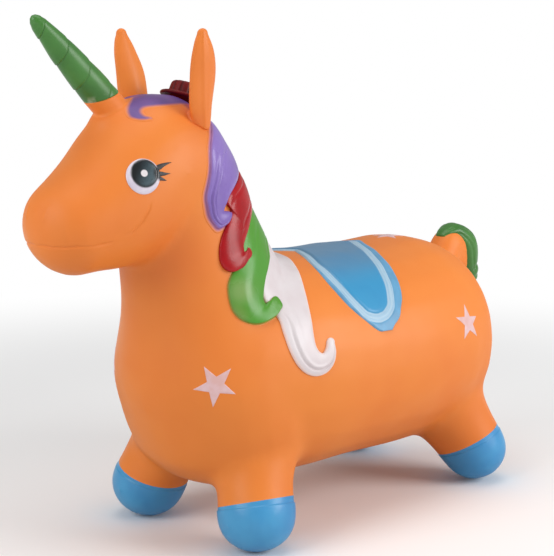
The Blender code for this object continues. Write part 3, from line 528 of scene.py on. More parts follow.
def spot(tree, centre, outer, inner, strength=1.0):
    """Socket that rises from 0 at the outer radius round centre to the strength at the inner, on both sides."""
    place = left_place_socket(tree)
    away = add_node(tree, "ShaderNodeVectorMath", {0: place, 1: tuple(centre)}, operation="DISTANCE")
    return ranged(tree, away.outputs["Value"], outer, inner, 0.0, strength)


def noise_socket(tree, scale, detail=2.0, roughness=0.5, stretch=None):
    place = place_socket(tree)
    if stretch:
        place = add_node(tree, "ShaderNodeMapping", {"Vector": place, "Scale": stretch}).outputs[0]
    return add_node(tree, "ShaderNodeTexNoise",
                    {"Vector": place, "Scale": scale, "Detail": detail, "Roughness": roughness}).outputs["Fac"]


def blotches(tree, scale, low, high, strength=1.0, detail=2.0, roughness=0.5, stretch=None):
    """Socket that rises from 0 to the strength where the noise goes from low to high."""
    return ranged(tree, noise_socket(tree, scale, detail, roughness, stretch), low, high, 0.0, strength)


def attribute_socket(tree, name):
    return add_node(tree, "ShaderNodeAttribute", attribute_name=name).outputs["Fac"]


def multiplied(tree, first, second):
    return add_node(tree, "ShaderNodeMath", {0: first, 1: second}, operation="MULTIPLY").outputs[0]


def new_material(name, slot, colour, roughness, gloss=0.5):
    """Sprayed or bare vinyl. colour makes the colour socket; roughness wanders a little about its value."""
    material = bpy.data.materials.new(name)
    material.use_nodes = True
    tree = material.node_tree
    shader = tree.nodes["Principled BSDF"]
    tree.links.new(colour(tree), shader.inputs["Base Color"])
    wear = ranged(tree, noise_socket(tree, WEAR_SCALE, 4.0, 0.6), 0.3, 0.7,
                  roughness - ROUGHNESS_SPREAD, roughness + ROUGHNESS_SPREAD)
    tree.links.new(wear, shader.inputs["Roughness"])
    shader.inputs["Specular IOR Level"].default_value = gloss
    waves = noise_socket(tree, SWELL_SCALE)
    pores = noise_socket(tree, PORE_SCALE, 3.0, 0.6)
    soft = add_node(tree, "ShaderNodeBump", {"Strength": GRAIN, "Distance": SWELL_DEPTH, "Height": waves})
    fine = add_node(tree, "ShaderNodeBump",
                    {"Strength": GRAIN, "Distance": PORE_DEPTH, "Height": pores, "Normal": soft.outputs[0]})
    tree.links.new(fine.outputs[0], shader.inputs["Normal"])
    material["slot"] = slot
    return material


def two_tone(first, second, scale, low=0.35, high=0.65):
    """Maker of a colour that wanders between two tones."""
    return lambda tree: mixed(tree, blotches(tree, scale, low, high, 1.0, 3.0, 0.55), first, second)


def spotted(tree, colour, spots):
    """The colour with soft spots of other tints on it."""
    for centre, outer, inner, strength, tint in spots:
        colour = mixed(tree, spot(tree, centre, outer, inner, strength), colour, tint)
    return colour


def vinyl_colour(tree):
    """Orange vinyl, a little uneven, with the overspray that the masks leave on it and a painted shade under the
    throat.
    """
    return spotted(tree, two_tone(ORANGE, ORANGE_DEEP, 7.0, 0.2, 0.9)(tree), OVERSPRAY_AND_THROAT_SHADE)


# ---------------------------------------------------------------- pieces

def add_piece(mesh, material, *nodes, body="animal"):
    """A smooth piece of the object, which rides on its body and stands for the CAD nodes that are named."""
    piece = new_object(mesh.name, mesh)
    mesh.materials.clear()
    mesh.materials.append(material)
    mesh.polygons.foreach_set("use_smooth", [True] * len(mesh.polygons))
    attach(piece, body)
    if nodes:
        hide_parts(*nodes)
    return piece


def metres(edges):
    """A table of front and rear edge points, in metres."""
    return np.array(edges) / 1000 * (*PLACE, *PLACE)


def swell(shares, fullness=0.60):
    """How high a raised form stands between its edges."""
    return (2 * np.sqrt(np.clip(shares * (1 - shares), 0, None))) ** fullness


def groove(value, centre, half_width):
    """Round-bottomed line at centre, 1 deep."""
    return np.exp(-((value - centre) / half_width) ** 2)


CLOSING_ROWS = 12
CLOSING_SHARE = 0.98        # of the quarter turn, so that the last row keeps a width
HAZE_LIFT = 0.00012
HAZE_POINTS = 4
UNDER_POINTS = 7


def closing_rows(rows, flatness):
    """Rows that close a form's end in a half circle, or in a flatter bow."""
    middles = (rows[:, :3] + rows[:, 3:]) / 2
    half = (rows[-1, :3] - rows[-1, 3:]) / 2
    way = middles[-1] - middles[-4]
    way -= half * (way @ half) / (half @ half)
    way *= np.linalg.norm(half) * flatness / np.linalg.norm(way)
    turn = np.linspace(0, math.pi / 2, CLOSING_ROWS + 1)[1:] * CLOSING_SHARE
    centres = middles[-1] + np.outer(np.sin(turn), way)
    halves = np.outer(np.cos(turn), half)
    return np.hstack([centres + halves, centres - halves])


def raised_rings(rows, height, steps, across, haze=0.0, sink=0.0015, whole=True, extra=None, flatness=0.0):
    """Rings of a form raised on the skin between two edges, and their along, across and edge values.

    height(along, share, width) is the rise, and extra(points) is added to it. haze is the width of the sprayed
    border outside the front edge. A whole form starts on the middle plane and goes on in its mirror image. A
    flatness above 0 rounds the form's end.
    """
    rows = resampled(rows, steps)
    if flatness:
        rows = np.vstack([rows, closing_rows(rows, flatness)])
    inner = (1 - np.cos(np.linspace(0, math.pi, across + 1))) / 2
    rings = []
    facts = {"along": [], "across": [], "edge": []}
    for step, row in enumerate(rows):
        along = min(step / steps, 1.0)
        front, rear = row[:3], row[3:]
        width = np.linalg.norm(rear - front)
        shares = inner
        if haze:
            rim = -np.linspace(haze, 0, HAZE_POINTS + 1)[:-1] / max(width, haze) * min(1.0, width / haze)
            shares = np.concatenate([rim, inner])
        lifts = np.where(shares < 0, HAZE_LIFT, height(along, np.clip(shares, 0, 1), width))
        lifts = np.maximum(lifts, HAZE_LIFT if haze else 0.0)
        places = front + np.outer(shares, rear - front)
        if extra:
            lifts = lifts + extra(places)
        under = np.linspace(shares[-1], shares[0], UNDER_POINTS)
        ring = np.array([*[surface.above(place, lift) for place, lift in zip(places, lifts)],
                         *[surface.above(front + (rear - front) * share, -sink) for share in under]])
        if whole and step == 0:
            ring[:, 1] = 0.0
        rings.append(ring)
        shares = np.concatenate([shares, under])
        facts["along"].append(np.full(len(ring), along))
        facts["across"].append(shares)
        facts["edge"].append(np.minimum(shares, 1 - shares) * width)
    if whole:
        rings = mirrored(rings[:0:-1]) + rings
        facts = {key: values[:0:-1] + values for key, values in facts.items()}
    return rings, facts


def disc_rings(centre, outline, shares, lift, sink=0.0008):
    """Rings of a form on the skin, drawn in from the outline round centre. lift(points, share) is its height."""
    outline = np.array(outline)
    rings = [np.array([surface.above(point, -sink) for point in outline])]
    for share in shares:
        points = centre + (outline - centre) * share
        rings.append(np.array([surface.above(*pair) for pair in zip(points, lift(points, share))]))
    return rings


def circle_on(centre, radius, around):
    """The nearest place to centre on the skin, and points of a circle round it."""
    place, normal = surface.foot(centre)
    along = normal.cross(Vector((0, 0, 1))).normalized()
    up = along.cross(normal)
    turn = full_turn(around)
    circle = np.outer(np.cos(turn), along) + np.outer(np.sin(turn), up)
    return np.array(place), np.array(place) + circle * radius


# ---------------------------------------------------------------- skin

ACROSS = np.array((0.0, 1.0, 0.0))
LENGTHWISE = np.array((1.0, 0.0, 0.0))
limbs = [
    limb_rings(TRUNK_SHARES, (WIDTH, HEIGHT), ACROSS, TRUNK_CAP_SHARES, TRUNK_ROUNDNESS),
    limb_rings(NECK_SHARES, (WIDTH, LENGTH), ACROSS, NECK_CAP_SHARES),
    limb_rings(HEAD_SHARES, (WIDTH, HEIGHT), ACROSS, HEAD_CAP_SHARES),
    limb_rings(COLLAR_SHARES, (COLLAR_RADIUS, COLLAR_RADIUS), ACROSS, COLLAR_CAP_SHARES),
    limb_rings(TAIL_SHARES, (TAIL_RADIUS, TAIL_RADIUS), ACROSS, TAIL_CAP_SHARES),
]
for leg_shares in (FRONT_LEG_SHARES, REAR_LEG_SHARES):
    leg = limb_rings(leg_shares, (LENGTH, WIDTH), LENGTHWISE, LEG_CAP_SHARES)
    limbs += [leg, mirrored(leg)]
cage = new_object("cage", blended_skin(limbs))
rounding = cage.modifiers.new("rounding", "SUBSURF")
rounding.levels = rounding.render_levels = 1
skin_mesh = evaluated_mesh(cage)
remove_object(cage)
for vertex in skin_mesh.vertices:
    if vertex.co.z < SOLE_SNAP:
        vertex.co.z = 0.0
surface = Surface(skin_mesh)

# Lines pressed into the skin, on the left side: path, half width, depth, length of the fades at its ends
MOUTH = [(-0.3020, 0.000, 0.2940), (-0.3000, -0.008, 0.2945), (-0.2940, -0.024, 0.2940),
         (-0.2840, -0.035, 0.2950), (-0.2720, -0.040, 0.2950), (-0.2600, -0.044, 0.2960),
         (-0.2480, -0.0465, 0.2978)]
SMILE = [(-0.2440, -0.0475, 0.3010), (-0.2370, -0.0490, 0.3040), (-0.2280, -0.0520, 0.3120),
         (-0.2220, -0.0545, 0.3220), (-0.2190, -0.0550, 0.3310)]
NOSTRIL = [(-0.2965, -0.0150, 0.3330), (-0.2990, -0.0135, 0.3270), (-0.3005, -0.0125, 0.3200),
           (-0.3010, -0.0120, 0.3130)]
PRESSED = [
    (MOUTH, 0.0012, 0.00085, 0.012),
    (SMILE, 0.0012, 0.00085, 0.010),
    (NOSTRIL, 0.0022, -0.00080, 0.006),
]
PRESS_REACHES = (0.0065, 0.0035)    # faces nearer than this to a pressed line are split once, then again
PRESS_MARGIN = 0.012                # how far round a line its dip is worked out


def boxed_places(path, points, margin):
    """Which points lie near the path's box."""
    low, high = np.min(path, axis=0) - margin, np.max(path, axis=0) + margin
    return np.where(((points > low) & (points < high)).all(axis=1))[0]


def pressed_form(mesh):
    """The skin with its pressed lines, split finely beside them."""
    form = bmesh.new()
    form.from_mesh(mesh)
    for reach in PRESS_REACHES:
        ends = np.array([(*edge.verts[0].co, *edge.verts[1].co) for edge in form.edges])
        middles = to_left((ends[:, :3] + ends[:, 3:]) / 2)
        near = np.zeros(len(middles), bool)
        for path, _, _, _ in PRESSED:
            boxed = boxed_places(path, middles, reach)
            near[boxed[path_distance(path, middles[boxed])[0] < reach]] = True
        form.edges.ensure_lookup_table()
        bmesh.ops.subdivide_edges(form, edges=[form.edges[index] for index in np.where(near)[0]],
                                  cuts=1, use_grid_fill=True)
    form.verts.ensure_lookup_table()
    points = np.array([vertex.co for vertex in form.verts])
    lefts = to_left(points)
    dips = np.zeros(len(points))
    touched = np.zeros(len(points), bool)
    for path, half_width, depth, fade in PRESSED:
        boxed = boxed_places(path, lefts, PRESS_MARGIN)
        distance, along, total = path_distance(path, lefts[boxed])
        ends = smoothstep(0, fade, total - along)
        if path[0][1] < 0:
            ends = ends * smoothstep(0, fade, along)
        dips[boxed] += depth * np.exp(-(distance / half_width) ** 2) * ends
        touched[boxed] = True
    for index in np.where(touched)[0]:
        place, normal = surface.foot(points[index])
        form.verts[index].co = place - normal * dips[index]
    return form


skin_form = pressed_form(skin_mesh)

HOOF_REACH = 0.052
HOOF_TOP = 0.080
LEDGE_DROP = 0.0050         # of the ledge below the paint line
LEDGE_EXTRA_TILT = 0.035
LEDGE_STEP = 0.0009
LEDGE_SOFTNESS = 0.0009
LEDGE_REACHES = (0.0030, 0.0016)    # faces nearer than this to the ledge are split once, then again
LEDGE_FADE = 0.010          # the ledge runs out below this height
# Name, foot centre on the left, height of the paint line there, how it falls along X and Y
HOOVES = [
    ("front", (LENGTH * -0.195, WIDTH * -0.316), 0.0470, (0.11, 0.34)),
    ("rear", (LENGTH * 0.3405, WIDTH * -0.343), 0.0497, (-0.33, 0.40)),
]


def split_hoof(form, foot, line, tilt, name):
    """Cuts one painted foot off the skin at its sloping line. Both stay closed, and the foot has a ledge."""
    centre = Vector((*foot, line))
    plane = Vector((*tilt, 1.0))
    faces = [face for face in form.faces
             if max(vertex.co.z for vertex in face.verts) < HOOF_TOP
             and all((vertex.co.xy - centre.xy).length < HOOF_REACH for vertex in face.verts)]
    parts = {item for face in faces for item in (*face.verts, *face.edges, face)}
    bmesh.ops.bisect_plane(form, geom=list(parts), dist=1e-6, plane_co=centre, plane_no=plane)
    below = [face for face in form.faces
             if (face.calc_center_median().xy - centre.xy).length < HOOF_REACH
             and (face.calc_center_median() - centre).dot(plane) < 0]
    hoof = bmesh.new()
    twins = {}
    for face in below:
        for vertex in face.verts:
            if vertex not in twins:
                twins[vertex] = hoof.verts.new(vertex.co)
        hoof.faces.new([twins[vertex] for vertex in face.verts])
    bmesh.ops.delete(form, geom=below, context="FACES")
    for half in (form, hoof):
        rim = [edge for edge in half.edges if edge.is_boundary]
        for edge in rim:
            edge.smooth = False
        bmesh.ops.holes_fill(half, edges=rim, sides=0)
    ledge_tilt = Vector((tilt[0] + LEDGE_EXTRA_TILT, tilt[1] + LEDGE_EXTRA_TILT * (1 if foot[1] > 0 else -1), 1.0))
    ledge_place = centre - Vector((0, 0, LEDGE_DROP))
    for reach in LEDGE_REACHES:
        edges = [edge for edge in hoof.edges
                 if edge.smooth
                 and abs(((edge.verts[0].co + edge.verts[1].co) / 2 - ledge_place).dot(ledge_tilt)) < reach]
        bmesh.ops.subdivide_edges(hoof, edges=edges, cuts=1, use_grid_fill=True)
    for vertex in hoof.verts:
        if any(not edge.smooth for edge in vertex.link_edges):
            continue
        below_ledge = -(vertex.co - ledge_place).dot(ledge_tilt)
        step = LEDGE_STEP * float(smoothstep(-LEDGE_SOFTNESS / 2, LEDGE_SOFTNESS / 2, below_ledge))
        step *= float(smoothstep(0.0, LEDGE_FADE, vertex.co.z))
        place, normal = surface.foot(vertex.co)
        outward = Vector((normal.x, normal.y, 0.0))
        vertex.co = Vector((place.x, place.y, max(place.z, 0.0))) + outward * step
    return mesh_from(hoof, name)


hoof_meshes = {}
for place, foot, line, tilt in HOOVES:
    for hand, sign in (("left", 1), ("right", -1)):
        node = "hoof_" + place + "_" + hand
        hoof_meshes[node] = split_hoof(skin_form, (foot[0], foot[1] * sign), line, (tilt[0], tilt[1] * sign),
                                       "painted_" + node)
body_mesh = mesh_from(skin_form, "blown_skin")

vinyl = new_material("orange_vinyl", "vinyl_orange", vinyl_colour, 0.48, gloss=0.35)
hoof_paint = new_material("hoof_paint", "hoof_blue", two_tone(HOOF_BLUE, HOOF_BLUE_DEEP, 16.0), 0.34)
body = add_piece(body_mesh, vinyl, "body_shell")
for node, mesh in hoof_meshes.items():
    add_piece(mesh, hoof_paint, node)

# Valve: a bored ring under the belly
VALVE_X = LENGTH * 0.187
BOSS_RADIUS = 0.0095
BOSS_PROUD = 0.0030
BOSS_EDGE = 0.0008
BOSS_DEPTH = 0.0122
BORE_RADIUS = 0.0050
BORE_DEPTH = 0.022
BORE_PLAY = 0.0008          # the skin's bore is this much wider, behind the ring
BORE_AROUND = 48
BOSS_AROUND = 64
belly, _, _, _ = surface.tree.ray_cast(Vector((VALVE_X, 0.0, -0.02)), Vector((0, 0, 1)))


def turned_rings(profile, around):
    """Rings of a form turned about the vertical, one for each (radius, height) of the profile."""
    turn = full_turn(around)
    return np.array([np.stack([np.cos(turn) * radius, np.sin(turn) * radius, 0 * turn + height], axis=1)
                     for radius, height in profile])


valve_place = np.array((VALVE_X, 0.0, belly.z))
cut_radius = BORE_RADIUS + BORE_PLAY
bore_rings = turned_rings([(cut_radius, -BORE_DEPTH), (cut_radius, BORE_DEPTH)], BORE_AROUND) + valve_place
bore = new_object("bore", loft_mesh("bore", bore_rings))
bored = body.modifiers.new("bore", "BOOLEAN")
bored.operation = "DIFFERENCE"
bored.solver = "EXACT"
bored.object = bore
bored_mesh = evaluated_mesh(body)
body.modifiers.clear()
old_mesh = body.data
bored_mesh.name = "blown_skin_bored"
body.data = bored_mesh
bpy.data.meshes.remove(old_mesh)
remove_object(bore)

boss_profile = [
    (BORE_RADIUS, BOSS_DEPTH),
    (BORE_RADIUS, BOSS_EDGE / 2 - BOSS_PROUD),
    (BORE_RADIUS + BOSS_EDGE / 2, -BOSS_PROUD),
    (BOSS_RADIUS - BOSS_EDGE, -BOSS_PROUD),
    (BOSS_RADIUS - BOSS_EDGE * 0.3, BOSS_EDGE * 0.3 - BOSS_PROUD),
    (BOSS_RADIUS, BOSS_EDGE - BOSS_PROUD),
    (BOSS_RADIUS, -0.0010),
    (BOSS_RADIUS + 0.0004, -0.0003),
    (BOSS_RADIUS + 0.0016, 0.0004),
    (BOSS_RADIUS + 0.0012, BOSS_DEPTH),
]
boss_rings = turned_rings(boss_profile, BOSS_AROUND).transpose(1, 0, 2) + valve_place
add_piece(loft_mesh("valve_ring", boss_rings, hoop=True), vinyl)
plug_vinyl = new_material("plug_vinyl", "vinyl_orange", two_tone(ORANGE_DEEP, ORANGE, 60.0), 0.42)
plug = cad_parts["valve_plug"]
plug.data.materials.clear()
plug.data.materials.append(plug_vinyl)


# ---------------------------------------------------------------- horn

HORN_LENGTH = 0.1030
HORN_RADIUS = 0.0148
HORN_RISE = math.radians(43.9)
HORN_TURNS = 3.62
HORN_START_SHARE = 0.246
HORN_STEP = 0.0007
HORN_CREASE = 0.0005
HORN_SHARES = (-0.3743, 0.0, 0.851)
HORN_TAPER = [(-1.0, 1.0), (0.0, 1.0), (0.24, 0.95), (0.60, 0.78), (0.90, 0.50), (0.955, 0.37), (0.985, 0.22),
              (1.0, 0.05)]
HORN_FOOT = 0.0046          # along the axis from the solid's base to the painted edge
HORN_SLANT = 0.50           # of that edge, which lies flatter than square to the axis
HORN_ROUND = 0.0013
HORN_TIP_SHARE = 0.12       # over which the winding fades out
HORN_ROLL_POWER = 2.2
HORN_CREASE_SHARE = 0.020   # of one turn
HORN_EDGE_SHARE = 0.02      # of the length, where the rounded edge has closer rings
HORN_EDGE_RINGS = 8
HORN_RINGS = 260
HORN_AROUND = 96
HORN_AXIS = np.array((-math.cos(HORN_RISE), 0, math.sin(HORN_RISE)))


def horn_ring(travels, radii):
    """Ring of points round the horn's axis, each with its own way along the axis."""
    circle = ellipse_ring(np.zeros(3), HORN_AXIS, ACROSS, 1.0, 1.0, HORN_AROUND) * np.reshape(radii, (-1, 1))
    return np.array(HORN_SHARES) * PLACE + circle + np.outer(travels, HORN_AXIS)


def painted_edge():
    """Where the green starts along the axis, for each point round the horn."""
    ring = ellipse_ring(np.zeros(3), HORN_AXIS, ACROSS, HORN_RADIUS, HORN_RADIUS, HORN_AROUND)
    back = np.array((HORN_AXIS[2], 0, -HORN_AXIS[0]))
    return HORN_FOOT - HORN_SLANT * (ring @ back)


def horn_rings():
    """Tapered cone wound with a rolled edge, round at the tip, on a slanting foot."""
    places, shares = zip(*HORN_TAPER)
    starts = painted_edge()
    rings = []
    facts = {"roll": [], "along": []}
    for way in np.concatenate([np.linspace(0, HORN_EDGE_SHARE, HORN_EDGE_RINGS + 1)[:-1],
                               np.linspace(HORN_EDGE_SHARE, 1, HORN_RINGS)]):
        travels = starts + (HORN_LENGTH - starts) * way
        place = travels / HORN_LENGTH
        roll = (HORN_TURNS * place + HORN_START_SHARE - full_turn(HORN_AROUND) / (2 * math.pi)) % 1.0
        fade = np.clip((1 - place) / HORN_TIP_SHARE, 0, 1)
        crease = groove(np.minimum(roll, 1 - roll), 0.0, HORN_CREASE_SHARE)
        short = 1 - np.clip((travels - starts) / HORN_ROUND, 0, 1)
        radii = HORN_RADIUS * np.interp(place, places, shares)
        radii = radii - (HORN_STEP * roll ** HORN_ROLL_POWER + HORN_CREASE * crease) * fade
        radii = radii - HORN_ROUND * (1 - np.sqrt(1 - short ** 2))
        rings.append(horn_ring(travels, radii))
        facts["roll"].append(roll)
        facts["along"].append(travels - starts)
    return rings, facts


def horn_colour(tree):
    """Green with a line along the rolled edge's crease, painted shade in some blotches and painted highlight in
    others, and rubbed streaks at the foot.
    """
    colour = two_tone(HORN_GREEN, HORN_GREEN_DEEP, 34.0, 0.3, 0.8)(tree)
    # Painted shade and painted highlight along the crease of the rolled edge
    line = ranged(tree, attribute_socket(tree, "roll"), 0.972, 1.0, 0.0, 0.60)
    colour = mixed(tree, line, colour, mixed(tree, blotches(tree, 55.0, 0.50, 0.62), HORN_CREASE_SHADE, HORN_CREASE_HIGHLIGHT))
    foot = ranged(tree, attribute_socket(tree, "along"), 0.0090, 0.0, 0.0, 0.55)
    rub_and_glint = multiplied(tree, foot, blotches(tree, 90.0, 0.50, 0.66, detail=3.0))
    return mixed(tree, rub_and_glint, colour, HORN_RUB)


rings, facts = horn_rings()
horn_paint = new_material("horn_paint", "horn_green", horn_colour, 0.36)
add_piece(loft_mesh("wound_horn", rings, **facts), horn_paint, "horn")


# ---------------------------------------------------------------- ears

EAR_FILLET = 0.0055
EAR_AROUND = 56
EAR_STEPS = 14
EAR_TWIST = math.radians(15)
EAR_TWIST_SPAN = (0.25, 0.65)
EAR_RIDGE = 0.0010
EAR_RIDGE_TURN = math.radians(248)
EAR_RIDGE_WIDTH = 0.16      # in radians round the ear
EAR_HOLLOW = 0.6            # of the ridge's height, beside it
EAR_HOLLOW_WIDTH = 0.7
EAR_RIDGE_SPAN = (0.25, 0.90, 0.08)
EAR_CAP_RINGS = (0.15, 0.3, 0.45, 0.6, 0.72, 0.82, 0.9, 0.95, 0.985, 0.998)
SKIRT_REACH = 1.25          # of the fillet's size
SKIRT_SINK = 0.0003
SKIRT_DEPTH = 0.0012
SKIRT_RINGS = 8


def skirted(rings, fillet):
    """The rings with their foot flared onto the skin, so that the form grows out of it."""
    rings = np.array(rings)
    count, around = rings.shape[:2]
    inside = np.zeros((count, around))
    for index in np.ndindex(count, around):
        place, normal = surface.foot(rings[index])
        inside[index] = (Vector(rings[index]) - place).dot(normal)
    centre = rings[0].mean(axis=0)
    columns = []
    for j in range(around):
        k = next(i for i in range(count) if inside[i:, j].min() > 0)
        share = inside[k, j] / (inside[k, j] - inside[k - 1, j])
        corner = rings[k, j] + (rings[k - 1, j] - rings[k, j]) * share
        line = np.vstack([corner, rings[k:, j]])
        travel = np.concatenate([[0], np.cumsum(np.linalg.norm(np.diff(line, axis=0), axis=1))])
        start = np.array([np.interp(fillet, travel, column) for column in line.T])
        place, normal = surface.foot(corner)
        outward = Vector(corner - centre)
        outward -= normal * outward.dot(normal)
        foot = np.array(surface.above(corner + np.array(outward.normalized()) * fillet * SKIRT_REACH, -SKIRT_SINK))
        low = np.array(surface.above(foot, -SKIRT_DEPTH))
        curve = [low] + [foot * (1 - t) ** 2 + 2 * corner * t * (1 - t) + start * t ** 2
                         for t in np.linspace(0, 1, SKIRT_RINGS)]
        rest = np.linspace(fillet, travel[-1], count)[1:]
        side = [np.array([np.interp(place_along, travel, column) for column in line.T]) for place_along in rest]
        columns.append(np.array(curve + side))
    return list(np.array(columns).transpose(1, 0, 2))


def leaf_rings(rings):
    """The ear's rings turned a little at the foot, with a soft ridge up their outer side, as on a leaf."""
    away = full_turn(EAR_AROUND) - EAR_RIDGE_TURN
    ridge = EAR_RIDGE * (groove(away, 0.0, EAR_RIDGE_WIDTH) - EAR_HOLLOW * groove(away, 0.0, EAR_HOLLOW_WIDTH))
    shaped = []
    for along, ring in zip(np.linspace(0, 1, len(rings)), rings):
        centre = ring.mean(axis=0)
        twist = EAR_TWIST * (1 - smoothstep(*EAR_TWIST_SPAN, along))
        outward = (ring - centre) @ np.array(Matrix.Rotation(twist, 3, "Z")).T
        lift = ridge * window(along, *EAR_RIDGE_SPAN) / np.linalg.norm(outward, axis=1)
        shaped.append(centre + outward * (1 + lift)[:, None])
    return shaped


ear_rings = limb_rings(EAR_SHARES, (EAR_RADIUS, EAR_RADIUS), LENGTHWISE, EAR_CAP_SHARES, EAR_ROUNDNESS,
                       EAR_AROUND, EAR_STEPS, EAR_CAP_RINGS)
ear_rings = skirted(leaf_rings(ear_rings), EAR_FILLET)
for node, name, rings in (("ear_left", "leaf_ear_left", ear_rings),
                          ("ear_right", "leaf_ear_right", mirrored(ear_rings))):
    add_piece(loft_mesh(name, rings), vinyl, node)


# ---------------------------------------------------------------- horn's collar

COLLAR_FOOT = -0.0130
COLLAR_FILLET = 0.0028
COLLAR_RINGS = 24
COLLAR_INSET = 0.0004       # its wall stands this far inside the horn's
COLLAR_LIP = (0.0006, 0.0022)       # how far it reaches into the horn, and how far in it closes


def collar_rings():
    """Bare vinyl round the horn's foot, flared onto the forehead and closed just inside the horn."""
    tops = painted_edge()
    wall = [horn_ring(COLLAR_FOOT + (tops - COLLAR_FOOT) * way, HORN_RADIUS - COLLAR_INSET)
            for way in np.linspace(0, 1, COLLAR_RINGS)]
    return skirted(wall, COLLAR_FILLET) + [horn_ring(tops + COLLAR_LIP[0], HORN_RADIUS - COLLAR_LIP[1])]


add_piece(loft_mesh("horn_collar", collar_rings()), vinyl)


# ---------------------------------------------------------------- mane

LOCK_STEPS = 190
LOCK_ACROSS = 44
LOCK_GLOSS = 0.35
MANE_RELIEF = 0.0047
CREST_SHARE = 0.18          # of its height that a lock has left where it runs over the top of the neck
CREST_REACH = 0.34


def rise(relief, width):
    """A narrow stretch rises less than a wide one."""
    return relief * width / (width + relief)


def off_crest(along):
    """A lock lies low where it runs over the top of the neck."""
    return CREST_SHARE + (1 - CREST_SHARE) * smoothstep(0, CREST_REACH, along)


def lock_height(relief, fullness, end_lift, strands):
    """Maker of a lock's height. end_lift raises its end over the next lock, more at the edges than between them.

    end_lift is its height, where along the lock it starts and is full, and how much less it is between the edges.
    Each strand is its height, its place and half width across, where it starts and ends, and its fade.
    """
    def height(along, share, width):
        total = rise(relief, width) * off_crest(along) * swell(share, fullness)
        lift, start, full, less = end_lift
        total = total + lift * smoothstep(start, full, along) * (1 - less * swell(share))
        for strand, middle, half_width, first, last, fade in strands:
            total = total + strand * groove(share, middle, half_width) * window(along, first, last, fade)
        return total
    return height


def sprayed(colour_maker, haze):
    """Maker of a lock's colour, with the soft sprayed border where its front edge runs out onto the orange."""
    def make(tree):
        paint = ranged(tree, attribute_socket(tree, "edge"), -haze, haze * 0.45)
        return mixed(tree, paint, vinyl_colour(tree), colour_maker(tree))
    return make if haze else colour_maker


def green_colour(tree):
    return spotted(tree, two_tone(GREEN, GREEN_SHADE, 28.0, 0.3, 0.75)(tree), GREEN_SHEEN_AND_DUST)


def white_colour(tree):
    colour = two_tone(WHITE, WHITE_PINK, 22.0, 0.35, 0.75)(tree)
    edge = ranged(tree, attribute_socket(tree, "edge"), 0.0030, 0.0005, 0.0, 0.5)
    return mixed(tree, edge, colour, WHITE_WARM)


# Name, edges, colour, sprayed border, flatness of the end, roughness, and what lock_height takes
LOCKS = [
    ("purple", PURPLE_EDGES, two_tone(PURPLE, PURPLE_DEEP, 26.0, 0.3, 0.75), 0.0042, 1.0, 0.27,
     MANE_RELIEF, 0.60, (0.0, 0.80, 0.93, 0.5),
     [(-0.0011, 0.20, 0.035, 0.42, 0.93, 0.10), (-0.0008, 0.36, 0.030, 0.38, 0.80, 0.10),
      (0.0005, 0.28, 0.05, 0.42, 0.85, 0.10)]),
    ("red", RED_EDGES, two_tone(RED, RED_DEEP, 30.0, 0.3, 0.75), 0.0, 0.9, 0.26,
     MANE_RELIEF, 0.60, (0.0030, 0.80, 0.93, 0.5),
     [(-0.0009, 0.18, 0.040, 0.20, 0.50, 0.08), (-0.0006, 0.74, 0.035, 0.12, 0.62, 0.10)]),
    ("green", GREEN_EDGES, green_colour, 0.0016, 0.75, 0.27,
     MANE_RELIEF, 0.60, (0.0038, 0.82, 0.94, 0.6),
     [(-0.0008, 0.80, 0.030, 0.06, 0.42, 0.08), (-0.0006, 0.34, 0.050, 0.30, 0.48, 0.06),
      (0.0014, 0.42, 0.22, 0.45, 0.78, 0.12)]),
    ("white", WHITE_EDGES, white_colour, 0.0, 0.8, 0.32,
     MANE_RELIEF * 0.85, 0.52, (0.0, 0.80, 0.93, 0.5),
     [(-0.0013, 0.26, 0.038, 0.62, 0.93, 0.07), (-0.0005, 0.55, 0.050, 0.15, 0.60, 0.12),
      (0.0006, 0.38, 0.06, 0.62, 0.93, 0.07)]),
]
for name, edges, colour, haze, flatness, roughness, *form in LOCKS:
    rings, facts = raised_rings(metres(edges), lock_height(*form), LOCK_STEPS, LOCK_ACROSS, haze, flatness=flatness)
    paint = new_material(name + "_paint", "lock_" + name, sprayed(colour, haze), roughness, gloss=LOCK_GLOSS)
    add_piece(loft_mesh("lock_" + name, rings, **facts), paint, "mane_" + name)


# ---------------------------------------------------------------- forelock

FORELOCK_RELIEF = 0.0009
FORELOCK_FADE = 0.0054
FORELOCK_SPREAD = 0.0022
FORELOCK_STEPS = 130
FORELOCK_ACROSS = 36


def forelock_colour(tree):
    """Sprayed without a mask: it thins out to the bare vinyl at both edges. A painted highlight runs along its
    crest.
    """
    colour = two_tone(FORELOCK_PURPLE, FORELOCK_DEEP, 40.0)(tree)
    # Painted highlight: pale blue-grey along the crest
    crest_highlight = ranged(tree, attribute_socket(tree, "across"), 0.30, 0.05, 0.0, 0.55)
    colour = mixed(tree, crest_highlight, colour, FORELOCK_CREST_HIGHLIGHT)
    thin = blotches(tree, 90.0, 0.3, 0.7, 0.0008)
    paint = ranged(tree, attribute_socket(tree, "edge"), thin, FORELOCK_FADE)
    return mixed(tree, paint, vinyl_colour(tree), colour)


def widened(rows, amount):
    """The rows with both edges moved apart."""
    ways = rows[:, :3] - rows[:, 3:]
    ways *= amount / np.linalg.norm(ways, axis=1)[:, None]
    return rows + np.hstack([ways, -ways])


rows = widened(metres(FORELOCK_EDGES), FORELOCK_SPREAD)
rows[0, 1] = rows[0, 4] = 0.0
rings, facts = raised_rings(rows, lambda along, share, width: rise(FORELOCK_RELIEF, width) * swell(share, 1.2),
                            FORELOCK_STEPS, FORELOCK_ACROSS, flatness=0.8)
forelock_paint = new_material("forelock_paint", "lock_purple", forelock_colour, 0.42)
add_piece(loft_mesh("forelock_curl", rings, **facts), forelock_paint, "forelock")


# ---------------------------------------------------------------- saddle pad

